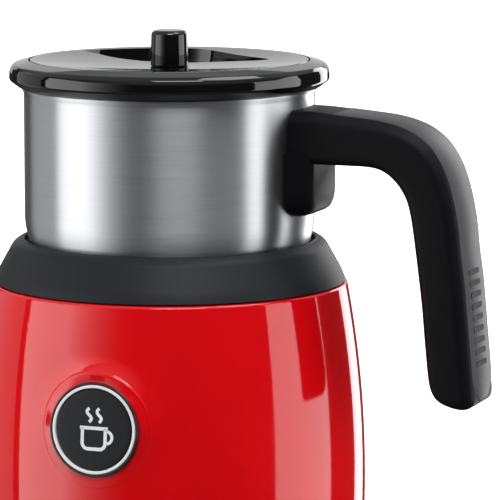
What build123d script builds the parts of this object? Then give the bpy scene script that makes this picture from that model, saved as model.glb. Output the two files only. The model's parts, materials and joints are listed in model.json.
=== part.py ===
from build123d import *
import math
import os

# Induction milk frother: a brushed steel jug with a lid, a handle and a magnetic
# whisk, standing in a powered base.  Millimetres, +Z up.  The origin is the centre
# of the foot ring, on the axis that the base, the jug and the lid share.
# The front, with the button, faces -Y.  The handle is on +X and the pouring lip on -X.

# ---------------------------------------------------------------- driving dimensions
# Base housing: a barrel whose side is a very large arc, widest at BARREL_WIDEST_Z.
BARREL_R = 76.0
BARREL_WIDEST_Z = 20.0
BARREL_SIDE_RADIUS = 410.0
HOUSING_WALL = 2.5
HOUSING_BOTTOM_Z = 3.5
HOUSING_TOP_Z = 97.2
JOINT_GAP = 0.5                     # dark line between housing and collar

# Collar and well that the jug stands in.
COLLAR_BOTTOM_Z = HOUSING_TOP_Z + JOINT_GAP
COLLAR_TOP_Z = 114.0
COLLAR_MOUTH_R = 56.2
SPIGOT_BOTTOM_Z = 93.0
TRAY_FLOOR_Z = 94.4
TRAY_WALL = 2.0
TRAY_RIM_Z = 111.5
WELL_GAP = 0.6                      # jug to well, all round the corner
HOT_PLATE_THICK = 0.5

# Jug: straight wall, one large corner arc, flat bottom.
JUG_R = 57.1
JUG_WALL = 1.0
JUG_BOTTOM_Z = 95.0
JUG_CORNER_R = 28.0
JUG_TOP_Z = 172.4
RIM_BEAD_R = 1.0
BASE_DISC_R = 26.4
BASE_DISC_THICK = 0.8
SPOUT_REACH = 62.3
SPOUT_START_Z = 160.0
SPOUT_HALF_WIDTH = 13.0

# Lid and knob.
LID_R = 61.7
LID_UNDERSIDE_Z = 172.6
LID_TOP_Z = 183.0
PLUG_R = 54.8
PLUG_BOTTOM_Z = 164.0
PANEL_R = 53.7
PANEL_CENTRE_Z = 180.1
LEDGE_R = 51.6                      # inner edge of the ledge that the panel rests on
SCOOP_FLOOR_Z = 173.5
SCOOP_WALL = 1.5
SCOOP_REAR = [(32.5, 24.0), (29.0, 29.5), (20.5, 34.5), (9.0, 44.0), (-1.7, 49.4), (-15.3, 47.0),
              (-27.6, 41.0), (-37.8, 31.8), (-43.6, 23.2), (-45.6, 18.9)]
SCOOP_FRONT = [(-45.6, 18.9), (-41.0, 20.0), (-34.0, 17.2), (-26.0, 13.8), (-13.0, 12.8), (2.0, 15.5),
               (12.0, 19.5), (22.0, 20.6), (28.5, 20.6), (32.5, 24.0)]
KNOB_R = 7.3
KNOB_TOP_Z = 194.0

# Handle, drawn in the XZ plane and extruded across its width.
HANDLE_WIDTH = 30.0
ARM_TOP_Z = 166.3
ARM_UNDER_Z = 146.0
PAD_FACE_X = 63.5
PAD_BOTTOM_Z = 125.5
PAD_HALF_WIDTH = 17.5
STRIP_WIDTH = 24.0
STRIP_THICK = 1.6

# Whisk on its spindle, and the magnet rotor below the well.
SPINDLE_R = 2.5
RUNNING_GAP = 0.05
BUSH_R = 3.5
WHISK_HUB_R = 14.5
WHISK_COIL_R = 16.0
WHISK_COIL_TUBE_R = 2.4
WHISK_COIL_Z = 101.7
MAGNET_R = 3.5
MAGNET_THICK = 3.0
MAGNET_OFFSET = 9.0
ROTOR_R = 14.0
ROTOR_BOTTOM_Z = 86.6
ROTOR_TOP_Z = 91.6
SHAFT_R = 1.5

# Induction coil and its carrier under the well floor.
CARRIER_Z = 82.0
CARRIER_THICK = 4.0
COIL_INNER_R = 19.5
COIL_WIRE = 1.8
COIL_PITCH = 2.0
COIL_TURNS = 8
CARRIER_POST_R = 46.0               # radius of the circle of carrier screws

# Motor.
MOTOR_R = 14.0
MOTOR_BOTTOM_Z = 48.0
MOTOR_TOP_Z = 72.0
BRACKET_THICK = 2.0
BRACKET_POST_R = 22.0
BRACKET_POST_ANGLES = (30, 210)

# Bottom plate, foot ring, fan and circuit board.
PLATE_Z = 3.5
PLATE_THICK = 2.5
PLATE_R = 73.0
FOOT_INNER_R = 66.0
FOOT_OUTER_R = 72.0
FOOT_RECESS = 0.7
PLATE_SCREW_R = 61.0                # radius of the circle of plate screws
FAN_SIZE = 60.0
FAN_BOTTOM_Z = 8.5
FAN_HEIGHT = 15.0
FAN_SWEEP_R = 27.2
PCB_Z = 34.0
PCB_THICK = 1.6
PCB_R = 56.0
PCB_POST_R = 48.0

# Front button, built along the normal of the leaning front wall.
BUTTON_Z = 51.4
BUTTON_LEAN = 4.4                   # degrees that the face looks upwards
BUTTON_PLANE_Y = -75.0
BOSS_R = 22.0
BOSS_FOOT_R = 27.5
BOSS_FACE = 0.5
BEZEL_R = 17.7
RING_R = 16.65
RING_BORE_R = 15.5
BUTTON_R = 15.3

# Temperature sensor beside the rotor, and the cord gland at the rear.
SENSOR_Y = 16.75
SENSOR_R = 1.6
SENSOR_STEM_R = 1.2
SENSOR_FLANGE_Z = 89.2
GLAND_Z = 16.0
GLAND_R = 6.0
GLAND_CORNER_R = 2.0
GLAND_HOLE_R = 3.3

EPS = 0.01


# ---------------------------------------------------------------- helpers
def disc(radius, low, high, x=0.0, y=0.0):
    """Upright solid cylinder between two heights."""
    return Pos(x, y, (low + high) / 2) * Cylinder(radius, high - low)


def tube(outer, inner, low, high, x=0.0, y=0.0):
    """Upright ring between two heights."""
    return disc(outer, low, high, x, y) - disc(inner, low - 1, high + 1, x, y)


def block(x0, x1, y0, y1, z0, z1):
    """Box between two corners."""
    centre = Pos((x0 + x1) / 2, (y0 + y1) / 2, (z0 + z1) / 2)
    return centre * Box(x1 - x0, y1 - y0, z1 - z0)


def turned(edges):
    """Solid of revolution about Z from edges that close a loop in the XZ plane."""
    return revolve(Plane.XZ * make_face(edges), Axis.Z)


def corner_arc(radius, start_deg, end_deg, centre):
    """Arc about a centre in the section plane, between two angles from +radius."""
    middle = (start_deg + end_deg) / 2
    spots = []
    for angle in (start_deg, middle, end_deg):
        a = math.radians(angle)
        spots.append((centre[0] + radius * math.cos(a), centre[1] + radius * math.sin(a)))
    return ThreePointArc(*spots)


def spots_on_circle(radius, angles):
    """Points (x, y) at the given angles on a circle about the axis."""
    return [(radius * math.cos(math.radians(a)), radius * math.sin(math.radians(a))) for a in angles]


def barrel_radius(z, inset=0.0):
    """Radius of the housing's side at a height, less an inset."""
    side = BARREL_SIDE_RADIUS - inset
    drop = side - math.sqrt(side ** 2 - (z - BARREL_WIDEST_Z) ** 2)
    return BARREL_R - inset - drop


def barrel_arc(low, high, inset=0.0):
    """The housing's side as an arc in the section plane."""
    middle = (low + high) / 2
    return ThreePointArc(*[(barrel_radius(z, inset), z) for z in (low, middle, high)])


BUTTON_FRAME = Location((0, BUTTON_PLANE_Y, BUTTON_Z), (90 - BUTTON_LEAN, 0, 0))


def facing(shape):
    """Stand a shape, drawn about +Z with 0 at the wall, on the leaning front wall."""
    return BUTTON_FRAME * shape


# ---------------------------------------------------------------- base: outside
def make_base_housing():
    """Gloss barrel with a boss for the button, screw posts inside and a cord hole."""
    lip = 1.2
    heel = 2.5
    low = HOUSING_BOTTOM_Z
    top = HOUSING_TOP_Z
    outer_low = (barrel_radius(low + heel), low + heel)
    outer_high = (barrel_radius(top - lip), top - lip)
    inner_low = (barrel_radius(low, HOUSING_WALL), low)
    inner_high = (barrel_radius(top, HOUSING_WALL), top)
    lip_in = (outer_high[0] - lip, top)
    heel_in = (outer_low[0] - heel, low)
    edges = barrel_arc(low + heel, top - lip)
    edges += ThreePointArc(outer_high, (outer_high[0] - 0.32 * lip, top - 0.28 * lip), lip_in)
    edges += Line(lip_in, inner_high)
    edges += barrel_arc(low, top, HOUSING_WALL)
    edges += ThreePointArc(outer_low, (outer_low[0] - 0.29 * heel, low + 0.29 * heel), heel_in)
    if heel_in[0] > inner_low[0]:
        edges += Line(heel_in, inner_low)
    shell = turned(edges)
    core = turned(barrel_arc(low - 1, top + 1, HOUSING_WALL)
                  + Polyline((barrel_radius(top + 1, HOUSING_WALL), top + 1), (0, top + 1),
                             (0, low - 1), (barrel_radius(low - 1, HOUSING_WALL), low - 1)))
    # The boss is a flat-faced cylinder with a sloping foot that runs into the wall.
    boss = facing(disc(BOSS_R, -8.0, BOSS_FACE))
    foot = facing(Pos(0, 0, -3.0) * Cone(BOSS_FOOT_R, BOSS_R, 6.0))
    rear_cut = facing(disc(BOSS_FOOT_R + 5, -30.0, -8.0))
    shell += boss + (foot - core)
    shell -= rear_cut & core
    shell -= facing(disc(BEZEL_R + 0.1, -12.0, 5.0))
    for x, y in spots_on_circle(PLATE_SCREW_R, (45, 135, 225, 315)):
        post = disc(4.5, PLATE_Z + PLATE_THICK, 22.0, x, y)
        turn = math.degrees(math.atan2(y, x))
        rib = block(PLATE_SCREW_R, BARREL_R - 1, -1.5, 1.5, PLATE_Z + PLATE_THICK, 20.0)
        shell += post + Rot(0, 0, turn) * rib
        shell -= disc(SHAFT_R, 0, 19.0, x, y)
    return shell - gland_body(0.1, 60.0, 90.0)


def make_collar_ring():
    """Soft charcoal ring that slopes from the housing up to the jug's mouth."""
    shoulder = corner_arc(3.4, 24, 90, (57.6, 110.6))
    start = shoulder @ 0
    slope = Polyline((68.1, COLLAR_BOTTOM_Z), (66.6, 101.3), (64.7, 104.8), (62.2, 109.2),
                     (start.X, start.Y))
    top_land = Line((57.6, COLLAR_TOP_Z), (COLLAR_MOUTH_R + 0.6, COLLAR_TOP_Z))
    lip = ThreePointArc((COLLAR_MOUTH_R + 0.6, COLLAR_TOP_Z),
                        (COLLAR_MOUTH_R + 0.18, COLLAR_TOP_Z - 0.18),
                        (COLLAR_MOUTH_R, COLLAR_TOP_Z - 0.6))
    inside = Polyline((COLLAR_MOUTH_R, COLLAR_TOP_Z - 0.6), (COLLAR_MOUTH_R, TRAY_RIM_Z),
                      (57.8, TRAY_RIM_Z), (60.0, 107.5), (63.6, 100.5), (63.6, SPIGOT_BOTTOM_Z),
                      (65.9, SPIGOT_BOTTOM_Z), (65.9, COLLAR_BOTTOM_Z), (68.1, COLLAR_BOTTOM_Z))
    return turned(slope + shoulder + top_land + lip + inside)


def make_bottom_plate():
    """Plate that closes the base, with fan slots, fan and board posts and screw holes."""
    top = PLATE_Z + PLATE_THICK
    plate = disc(PLATE_R, PLATE_Z, top)
    plate -= tube(FOOT_OUTER_R, FOOT_INNER_R, PLATE_Z - 1, PLATE_Z + FOOT_RECESS)
    for i in range(12):
        slot = block(12, 27, -1.6, 1.6, PLATE_Z - 1, top + 1)
        plate -= Rot(0, 0, 30 * i + 15) * slot
    for x, y in spots_on_circle(PLATE_SCREW_R, (45, 135, 225, 315)):
        plate -= disc(1.7, 0, 20, x, y) + disc(3.0, 0, PLATE_Z + 1.2, x, y)
    for sx in (-1, 1):
        for sy in (-1, 1):
            plate += disc(3.5, top, FAN_BOTTOM_Z, 25 * sx, 25 * sy)
    for x, y in spots_on_circle(PCB_POST_R, (0, 90, 180, 270)):
        plate += disc(3.5, top, PCB_Z, x, y)
        plate -= disc(1.25, PCB_Z - 10, PCB_Z + 1, x, y)
    return plate


def make_foot_ring():
    """Rubber ring that the base stands on, set in a groove of the bottom plate."""
    return tube(FOOT_OUTER_R - 0.05, FOOT_INNER_R + 0.05, 0, PLATE_Z + FOOT_RECESS)


def make_bottom_screws():
    """Four screws that hold the bottom plate to the housing's posts."""
    screws = []
    for x, y in spots_on_circle(PLATE_SCREW_R, (45, 135, 225, 315)):
        head = disc(2.8, PLATE_Z, PLATE_Z + 1.2, x, y)
        screws.append(head + disc(SHAFT_R - 0.05, PLATE_Z + 1.2, 18.0, x, y))
    return Compound(children=screws)


def rearward(shape):
    """Lay a shape, drawn about +Z, along +Y at the height of the cord gland."""
    return Pos(0, 0, GLAND_Z) * Rot(-90, 0, 0) * shape


def gland_body(gap, near, far):
    """Square body with rounded corners, so that the gland can't turn in the wall."""
    side = 2 * (GLAND_R + gap)
    section = RectangleRounded(side, side, GLAND_CORNER_R + gap)
    return rearward(Pos(0, 0, near) * extrude(section, amount=far - near))


def make_cord_gland():
    """Bush that the mains cord leaves through, at the rear near the floor."""
    flanges = disc(8.0, BARREL_R + 0.05, BARREL_R + 2.5) + disc(8.0, 68.0, 72.8)
    boot = disc(GLAND_R, BARREL_R, 82.0) + Pos(0, 0, 85.0) * Cone(GLAND_R, GLAND_R - 1.2, 6.0)
    body = gland_body(0.0, 66.0, BARREL_R + 1.0) + rearward(flanges + boot)
    return body - rearward(disc(GLAND_HOLE_R, 60.0, 90.0))


# ---------------------------------------------------------------- base: well and coil
def make_well_tray():
    """Bowl that the jug stands in, with three posts below for the coil carrier."""
    centre = (JUG_R - JUG_CORNER_R, JUG_BOTTOM_Z + JUG_CORNER_R)
    inner = JUG_CORNER_R + WELL_GAP
    outer = inner + TRAY_WALL
    under_rim_z = TRAY_RIM_Z - 2.0
    inner_end = -math.degrees(math.asin((centre[1] - TRAY_RIM_Z) / inner))
    outer_end = -math.degrees(math.asin((centre[1] - under_rim_z) / outer))
    inside = corner_arc(inner, -90, inner_end, centre)
    outside = corner_arc(outer, -90, outer_end, centre)
    rim_in = inside @ 1
    rim_out = outside @ 1
    floor_z = centre[1] - inner
    under_z = centre[1] - outer
    bowl = turned(inside
                  + Polyline((rim_in.X, rim_in.Y), (57.2, TRAY_RIM_Z), (57.2, under_rim_z),
                             (rim_out.X, rim_out.Y))
                  + outside
                  + Polyline((centre[0], under_z), (0, under_z), (0, floor_z), (centre[0], floor_z)))
    hollow = turned(inside
                    + Polyline((rim_in.X, rim_in.Y), (rim_in.X, 130), (0, 130), (0, floor_z),
                               (centre[0], floor_z)))
    for x, y in spots_on_circle(CARRIER_POST_R, (90, 210, 330)):
        bowl += disc(4.0, CARRIER_Z + CARRIER_THICK, 103.0, x, y) - hollow
        bowl -= disc(1.25, CARRIER_Z, CARRIER_Z + 12, x, y)
    return bowl - disc(SENSOR_R + RUNNING_GAP, 90, 96, 0, SENSOR_Y)


def make_hot_plate():
    """Thin ceramic disc on the well floor, under the jug."""
    plate = disc(27.0, TRAY_FLOOR_Z, TRAY_FLOOR_Z + HOT_PLATE_THICK)
    return plate - disc(SENSOR_R + 0.4, 90, 96, 0, SENSOR_Y)


def make_coil_carrier():
    """Disc that carries the coil, with three ears and two posts for the motor."""
    low = CARRIER_Z
    high = CARRIER_Z + CARRIER_THICK
    carrier = disc(37.5, low, high)
    for x, y in spots_on_circle(CARRIER_POST_R, (90, 210, 330)):
        turn = math.degrees(math.atan2(y, x))
        carrier += Rot(0, 0, turn) * block(30, CARRIER_POST_R, -4, 4, low, high)
        carrier += disc(4.0, low, high, x, y)
        carrier -= disc(1.6, low - 1, high + 1, x, y)
    for x, y in spots_on_circle(BRACKET_POST_R, BRACKET_POST_ANGLES):
        carrier += disc(3.0, MOTOR_TOP_Z + BRACKET_THICK, low, x, y)
        carrier -= disc(1.25, MOTOR_TOP_Z, low - 1, x, y)
    carrier -= disc(5.0, low - 1, high + 1)
    return carrier - disc(SENSOR_STEM_R + RUNNING_GAP, low - 1, high + 1, 0, SENSOR_Y)


def make_induction_coil():
    """Flat winding in two layers, each turn drawn as a closed ring of wire."""
    turns = []
    low = CARRIER_Z + CARRIER_THICK
    for layer in range(2):
        z = low + layer * COIL_WIRE
        for i in range(COIL_TURNS):
            inner = COIL_INNER_R + i * COIL_PITCH
            turns.append(tube(inner + COIL_WIRE, inner, z + 0.02, z + COIL_WIRE - 0.02))
    return Compound(children=turns)


def make_ferrite_bars():
    """Six bars under the coil that lead its field back."""
    bars = []
    for i in range(6):
        bars.append(Rot(0, 0, 60 * i) * block(21, 36, -3, 3, CARRIER_Z - 4, CARRIER_Z))
    return Compound(children=bars)


def make_carrier_screws():
    """Three screws from the carrier's ears up into the well tray's posts."""
    screws = []
    for x, y in spots_on_circle(CARRIER_POST_R, (90, 210, 330)):
        head = disc(2.8, CARRIER_Z - 1.8, CARRIER_Z, x, y)
        screws.append(head + disc(1.2, CARRIER_Z, CARRIER_Z + 11, x, y))
    return Compound(children=screws)


# ---------------------------------------------------------------- base: motor and rotor
def make_motor_bracket():
    """Flat steel bar across the two carrier posts, with the motor's boss in its middle."""
    low = MOTOR_TOP_Z
    high = MOTOR_TOP_Z + BRACKET_THICK
    plate = disc(MOTOR_R, low, high)
    plate += Rot(0, 0, BRACKET_POST_ANGLES[0]) * block(-BRACKET_POST_R, BRACKET_POST_R, -5, 5, low, high)
    for x, y in spots_on_circle(BRACKET_POST_R, BRACKET_POST_ANGLES):
        plate += disc(5.0, low, high, x, y)
        plate -= disc(1.4, low - 1, high + 1, x, y)
    return plate - disc(5.1, low - 1, high + 1)


def make_motor_can():
    """Motor with its front boss, a rear bearing hump and two terminals."""
    can = disc(MOTOR_R, MOTOR_BOTTOM_Z, MOTOR_TOP_Z)
    can += disc(5.0, MOTOR_TOP_Z, MOTOR_TOP_Z + BRACKET_THICK + 0.5)
    can += disc(4.0, MOTOR_BOTTOM_Z - 2, MOTOR_BOTTOM_Z)
    for y in (-8.0, 8.0):
        can += block(-1.5, 1.5, y - 0.3, y + 0.3, MOTOR_BOTTOM_Z - 5, MOTOR_BOTTOM_Z)
    return can - disc(SHAFT_R + RUNNING_GAP, MOTOR_BOTTOM_Z + 8, MOTOR_TOP_Z + 10)


def make_motor_screws():
    """Two screws from the bracket up into the carrier's posts."""
    screws = []
    for x, y in spots_on_circle(BRACKET_POST_R, BRACKET_POST_ANGLES):
        head = disc(2.4, MOTOR_TOP_Z - 1.6, MOTOR_TOP_Z, x, y)
        screws.append(head + disc(1.2, MOTOR_TOP_Z, MOTOR_TOP_Z + 8, x, y))
    return Compound(children=screws)


def make_rotor_shaft():
    """Motor shaft that carries the magnet rotor."""
    return disc(SHAFT_R, MOTOR_BOTTOM_Z + 9, ROTOR_TOP_Z - 1)


def make_rotor_carrier():
    """Disc with two magnet pockets and a hub on the motor shaft."""
    body = disc(ROTOR_R, ROTOR_BOTTOM_Z, ROTOR_TOP_Z) + disc(4.0, 77.0, ROTOR_BOTTOM_Z)
    body -= disc(SHAFT_R, 70.0, ROTOR_TOP_Z - 1)
    for x in (-MAGNET_OFFSET, MAGNET_OFFSET):
        body -= disc(MAGNET_R + 0.05, ROTOR_TOP_Z - MAGNET_THICK - 0.2, ROTOR_TOP_Z + 1, x, 0)
    return body


def make_rotor_magnets():
    """Two disc magnets that drag the whisk round through the jug's bottom."""
    low = ROTOR_TOP_Z - MAGNET_THICK - 0.2
    pair = [disc(MAGNET_R, low, low + MAGNET_THICK, x, 0) for x in (-MAGNET_OFFSET, MAGNET_OFFSET)]
    return Compound(children=pair)


# ---------------------------------------------------------------- base: electronics and fan
def make_main_pcb():
    """Power board on four posts."""
    board = disc(PCB_R, PCB_Z, PCB_Z + PCB_THICK)
    for x, y in spots_on_circle(PCB_POST_R, (0, 90, 180, 270)):
        board -= disc(1.6, PCB_Z - 1, PCB_Z + 3, x, y)
    return board


def make_pcb_screws():
    """Four screws that hold the power board down."""
    top = PCB_Z + PCB_THICK
    screws = []
    for x, y in spots_on_circle(PCB_POST_R, (0, 90, 180, 270)):
        screws.append(disc(2.6, top, top + 1.8, x, y) + disc(1.2, PCB_Z - 8, top, x, y))
    return Compound(children=screws)


def make_heat_sink():
    """Aluminium block with fins, upright on the board."""
    low = PCB_Z + PCB_THICK
    sink = block(-22, 22, 30, 33, low, low + 26)
    for i in range(8):
        x = -21 + i * 6
        sink += block(x - 0.7, x + 0.7, 33, 42, low, low + 26)
    return sink


def make_power_transistors():
    """Two switching transistors clamped flat against the heat sink."""
    low = PCB_Z + PCB_THICK
    parts = []
    for x in (-11, 11):
        body = block(x - 8, x + 8, 25.2, 30, low + 5, low + 24)
        for dx in (-5, 0, 5):
            body += block(x + dx - 0.6, x + dx + 0.6, 27, 27.8, low, low + 5)
        parts.append(body)
    return Compound(children=parts)


def make_capacitors():
    """Upright capacitors on the power board."""
    low = PCB_Z + PCB_THICK
    cans = []
    for x, y, radius, height in ((36, -14, 8, 26), (36, 6, 8, 26), (22, -34, 6, 18)):
        can = disc(radius, low, low + height, x, y)
        groove = tube(radius + 1, radius - 0.6, low + 2.0, low + 3.0, x, y)
        cans.append(can - groove)
    return Compound(children=cans)


def make_filter_choke():
    """Ring core choke lying on the power board."""
    low = PCB_Z + PCB_THICK
    return Pos(-34, 10, low + 5) * Torus(9.5, 5.0)


def make_terminal_block():
    """Screw terminals where the mains leads land."""
    low = PCB_Z + PCB_THICK
    body = block(-34, -14, -42, -32, low, low + 11)
    for x in (-29, -19):
        body -= disc(2.2, low + 6, low + 12, x, -37)
        body -= block(x - 2, x + 2, -43, -37, low + 2, low + 5)
    return body


def make_fan_frame():
    """Square fan frame with a hub plate, four struts and a bearing tube."""
    low = FAN_BOTTOM_Z
    high = FAN_BOTTOM_Z + FAN_HEIGHT
    half = FAN_SIZE / 2
    frame = block(-half, half, -half, half, low, high) - disc(28.5, low - 1, high + 1)
    for i in range(4):
        frame += Rot(0, 0, 90 * i) * block(8, 28.8, -1.5, 1.5, low, low + 2)
    frame += disc(11.0, low, low + 2) + disc(3.0, low + 2, low + 11)
    frame -= disc(SHAFT_R + RUNNING_GAP, low + 1, low + 20)
    for sx in (-1, 1):
        for sy in (-1, 1):
            frame -= disc(2.1, low - 1, high + 1, 25 * sx, 25 * sy)
    return frame


def make_fan_blades():
    """Fan hub cup with its shaft and seven slanting blades."""
    low = FAN_BOTTOM_Z + 3.0
    high = FAN_BOTTOM_Z + FAN_HEIGHT - 1.0
    cup = disc(12.0, low, high) - disc(10.5, low - 1, high - 1.5)
    cup += disc(SHAFT_R, FAN_BOTTOM_Z + 1.5, high - 1)
    blade = Pos((11.4 + FAN_SWEEP_R) / 2, 0, (low + high) / 2)
    blade = blade * Rot(35, 0, 0) * Box(FAN_SWEEP_R - 11.4, 10.5, 1.2)
    for i in range(7):
        cup += Rot(0, 0, i * 360 / 7) * blade
    return cup


# ---------------------------------------------------------------- front button
def make_button_bezel():
    """Dark cup pressed into the housing's boss, with a ledge and three board posts."""
    bezel = tube(BEZEL_R, RING_R + 0.05, -9.0, 0.8) + tube(BEZEL_R, 12.0, -9.0, -7.5)
    for x, y in spots_on_circle(13.4, (90, 210, 330)):
        bezel += disc(1.4, -13.6, -9.0, x, y)
    return facing(bezel)


def make_light_ring():
    """Translucent ring round the button."""
    return facing(tube(RING_R, RING_BORE_R, -7.5, 0.9))


def make_button_cap():
    """Round push button with a skirt and a centre stem."""
    cap = disc(BUTTON_R, -3.0, BOSS_FACE) - tube(BUTTON_R + 1, BUTTON_R - 0.25, BOSS_FACE - 0.25, 1.0)
    cap += tube(BUTTON_R, 13.6, -5.6, -3.0) + disc(2.0, -8.0, -3.0)
    return facing(cap)


def make_switch_plunger():
    """Pin of the switch, pushed in by the button's stem."""
    return facing(disc(1.2, -11.2, -8.0))


def make_tact_switch():
    """Switch body on the button board, with the bore its pin slides in."""
    body = block(-3.2, 3.2, -3.2, 3.2, -13.6, -9.7)
    return facing(body - disc(1.2 + RUNNING_GAP, -12.9, -9.0))


def make_button_pcb():
    """Small round board behind the button."""
    return facing(disc(15.0, -15.2, -13.6))


def make_status_leds():
    """Four lamps under the light ring."""
    lamps = []
    for x, y in spots_on_circle(10.0, (45, 135, 225, 315)):
        lamps.append(facing(block(x - 1.2, x + 1.2, y - 1.2, y + 1.2, -13.6, -12.4)))
    return Compound(children=lamps)


# ---------------------------------------------------------------- temperature sensor
def make_sensor_tip():
    """Sprung metal tip that feels the jug's bottom through the well floor."""
    tip = disc(SENSOR_R, SENSOR_FLANGE_Z + 0.8, TRAY_FLOOR_Z + 0.5, 0, SENSOR_Y)
    tip += disc(2.2, SENSOR_FLANGE_Z, SENSOR_FLANGE_Z + 0.8, 0, SENSOR_Y)
    return tip + disc(SENSOR_STEM_R, CARRIER_Z - 1, SENSOR_FLANGE_Z, 0, SENSOR_Y)


def make_sensor_spring():
    """Coil spring between the carrier and the sensor's flange."""
    wire_r = 0.2
    low = CARRIER_Z + CARRIER_THICK + wire_r + 0.02
    high = SENSOR_FLANGE_Z - wire_r - 0.02
    path = Pos(0, SENSOR_Y, low) * Helix(pitch=(high - low) / 4, height=high - low, radius=1.75)
    section = Plane(origin=path @ 0, z_dir=path % 0) * Circle(wire_r)
    return sweep(section, path=path, is_frenet=True)


# ---------------------------------------------------------------- jug
def spout_body(inset, top_z):
    """Wedge that widens upwards to the pouring lip, shrunk by an inset."""
    low_w = 2.5 - inset
    high_w = SPOUT_HALF_WIDTH - inset
    root = 3.2 - JUG_R
    start = inset - JUG_R - 0.4
    low_section = Polyline((start, 0), (root, low_w), (root, -low_w), close=True)
    reach = -SPOUT_REACH + 1.4 * inset
    high_section = Polyline((reach, 0), (root, high_w), (root, -high_w), close=True)
    low_face = Pos(0, 0, SPOUT_START_Z) * make_face(low_section)
    high_face = Pos(0, 0, top_z) * make_face(high_section)
    return loft([low_face, high_face], ruled=True)


def make_jug_shell():
    """Pressed steel jug with a rolled rim and a pouring lip."""
    centre = (JUG_R - JUG_CORNER_R, JUG_BOTTOM_Z + JUG_CORNER_R)
    inner_r = JUG_R - JUG_WALL
    bead_z = JUG_TOP_Z - RIM_BEAD_R
    floor_z = JUG_BOTTOM_Z + BASE_DISC_THICK + JUG_WALL
    inner_corner = JUG_CORNER_R - JUG_WALL
    start = -math.degrees(math.asin((centre[1] - floor_z) / inner_corner))
    outside = corner_arc(JUG_CORNER_R, -90, 0, centre)
    inside = corner_arc(inner_corner, start, 0, centre)
    turn_in = inside @ 0
    pocket_z = JUG_BOTTOM_Z + BASE_DISC_THICK
    pocket_r = BASE_DISC_R + 0.1
    shell = turned(outside
                   + Polyline((JUG_R, centre[1]), (JUG_R, bead_z), (inner_r, bead_z), (inner_r, centre[1]))
                   + inside
                   + Polyline((turn_in.X, turn_in.Y), (0, floor_z), (0, pocket_z), (pocket_r, pocket_z),
                              (pocket_r, JUG_BOTTOM_Z), (centre[0], JUG_BOTTOM_Z)))
    bead = Pos(0, 0, bead_z) * Torus(JUG_R, RIM_BEAD_R)
    bore = disc(inner_r, SPOUT_START_Z - 20, JUG_TOP_Z + 5)
    shell += bead - bore
    shell += spout_body(0.0, JUG_TOP_Z) - bore
    return shell - spout_body(JUG_WALL, JUG_TOP_Z + EPS)


def make_jug_base_disc():
    """Magnetic steel disc let into the jug's bottom, which the coil heats."""
    return disc(BASE_DISC_R, JUG_BOTTOM_Z, JUG_BOTTOM_Z + BASE_DISC_THICK)


def make_spindle_pin():
    """Pin on the jug's floor that the whisk turns on."""
    floor_z = JUG_BOTTOM_Z + BASE_DISC_THICK + JUG_WALL
    return disc(5.0, floor_z, floor_z + 0.5) + disc(SPINDLE_R, floor_z, 103.2)


def handle_outline():
    """Side view of arm and grip: flat arm, one large bend, slightly leaning grip."""
    outer = Spline((88.0, 163.8), (103.0, 159.4), (114.6, 147.2), (119.5, 132.1), (122.6, 109.3),
                   (127.0, 68.0), tangents=((1, -0.1), (0.09, -1)))
    inner = Spline((109.4, 68.0), (106.5, 96.8), (103.6, 119.4), (98.4, 138.0), (83.0, ARM_UNDER_Z),
                   tangents=((-0.1, 1), (-1, 0.0)))
    heel = Line((127.0, 68.0), (127.6, 61.6))
    heel_round = ThreePointArc((127.6, 61.6), (126.6, 57.6), (123.0, 55.9))
    end = Line((123.0, 55.9), (118.5, 56.5))
    toe_round = ThreePointArc((118.5, 56.5), (112.9, 58.9), (110.1, 63.6))
    toe = Line((110.1, 63.6), (109.4, 68.0))
    arm = Polyline((83.0, ARM_UNDER_Z), (45.0, ARM_UNDER_Z), (45.0, ARM_TOP_Z), (60.0, ARM_TOP_Z),
                   (88.0, 163.8))
    return outer + heel + heel_round + end + toe_round + toe + inner + arm


def handle_pad():
    """Pad on the jug's wall below the arm, wider than the arm and rounded all round."""
    half = PAD_HALF_WIDTH
    pad = block(45.0, PAD_FACE_X, -half, half, PAD_BOTTOM_Z, ARM_UNDER_Z + 6)
    corners = pad.edges().filter_by(Axis.X)
    pad = fillet(corners, 9.0)
    return fillet(pad.faces().sort_by(Axis.X)[-1].edges(), 5.0)


def handle_solid():
    """Whole handle before it is fitted to the jug and divided into its pieces."""
    half = HANDLE_WIDTH / 2
    side = Plane.XZ * make_face(handle_outline())
    body = extrude(side, amount=half, both=True)
    long_edges = [e for e in body.edges() if e.length > 12 and abs(abs(e.center().Y) - half) < 0.1
                  and e.center().X > 62]
    return fillet(long_edges, 3.0) + handle_pad()


def strip_zone():
    """Region on the palm side of the handle that the inlaid strip takes up."""
    half = STRIP_WIDTH / 2
    outer = Spline((88.0, 163.8 - STRIP_THICK), (102.1, 158.0), (113.1, 146.5), (117.9, 131.8),
                   (121.0, 109.1), (125.4, 68.0), tangents=((1, -0.1), (0.09, -1)))
    rest = Polyline((125.4, 68.0), (125.9, 62.0), (150.0, 62.0), (150.0, 200.0), (66.0, 200.0),
                    (66.0, 165.75 - STRIP_THICK), (88.0, 163.8 - STRIP_THICK))
    return extrude(Plane.XZ * make_face(outer + rest), amount=half, both=True)


def bracket_solid(gap):
    """Curved plate on the jug wall with a tongue into the arm, grown by a gap."""
    plate = tube(JUG_R + 1.6 + gap, JUG_R + 0.1 - gap, 130.0 - gap, 160.0 + gap)
    plate &= block(40, 70, -9 - gap, 9 + gap, 120, 170)
    return plate + block(57.0, 84.0 + gap, -7 - gap, 7 + gap, 153.5 - gap, 156.5 + gap)


def make_handle_bracket():
    """Steel bracket welded to the jug, hidden inside the handle."""
    bracket = bracket_solid(0.0)
    for x in (70.0, 80.0):
        bracket -= disc(1.55, 150, 160, x, 0)
    return bracket


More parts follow.
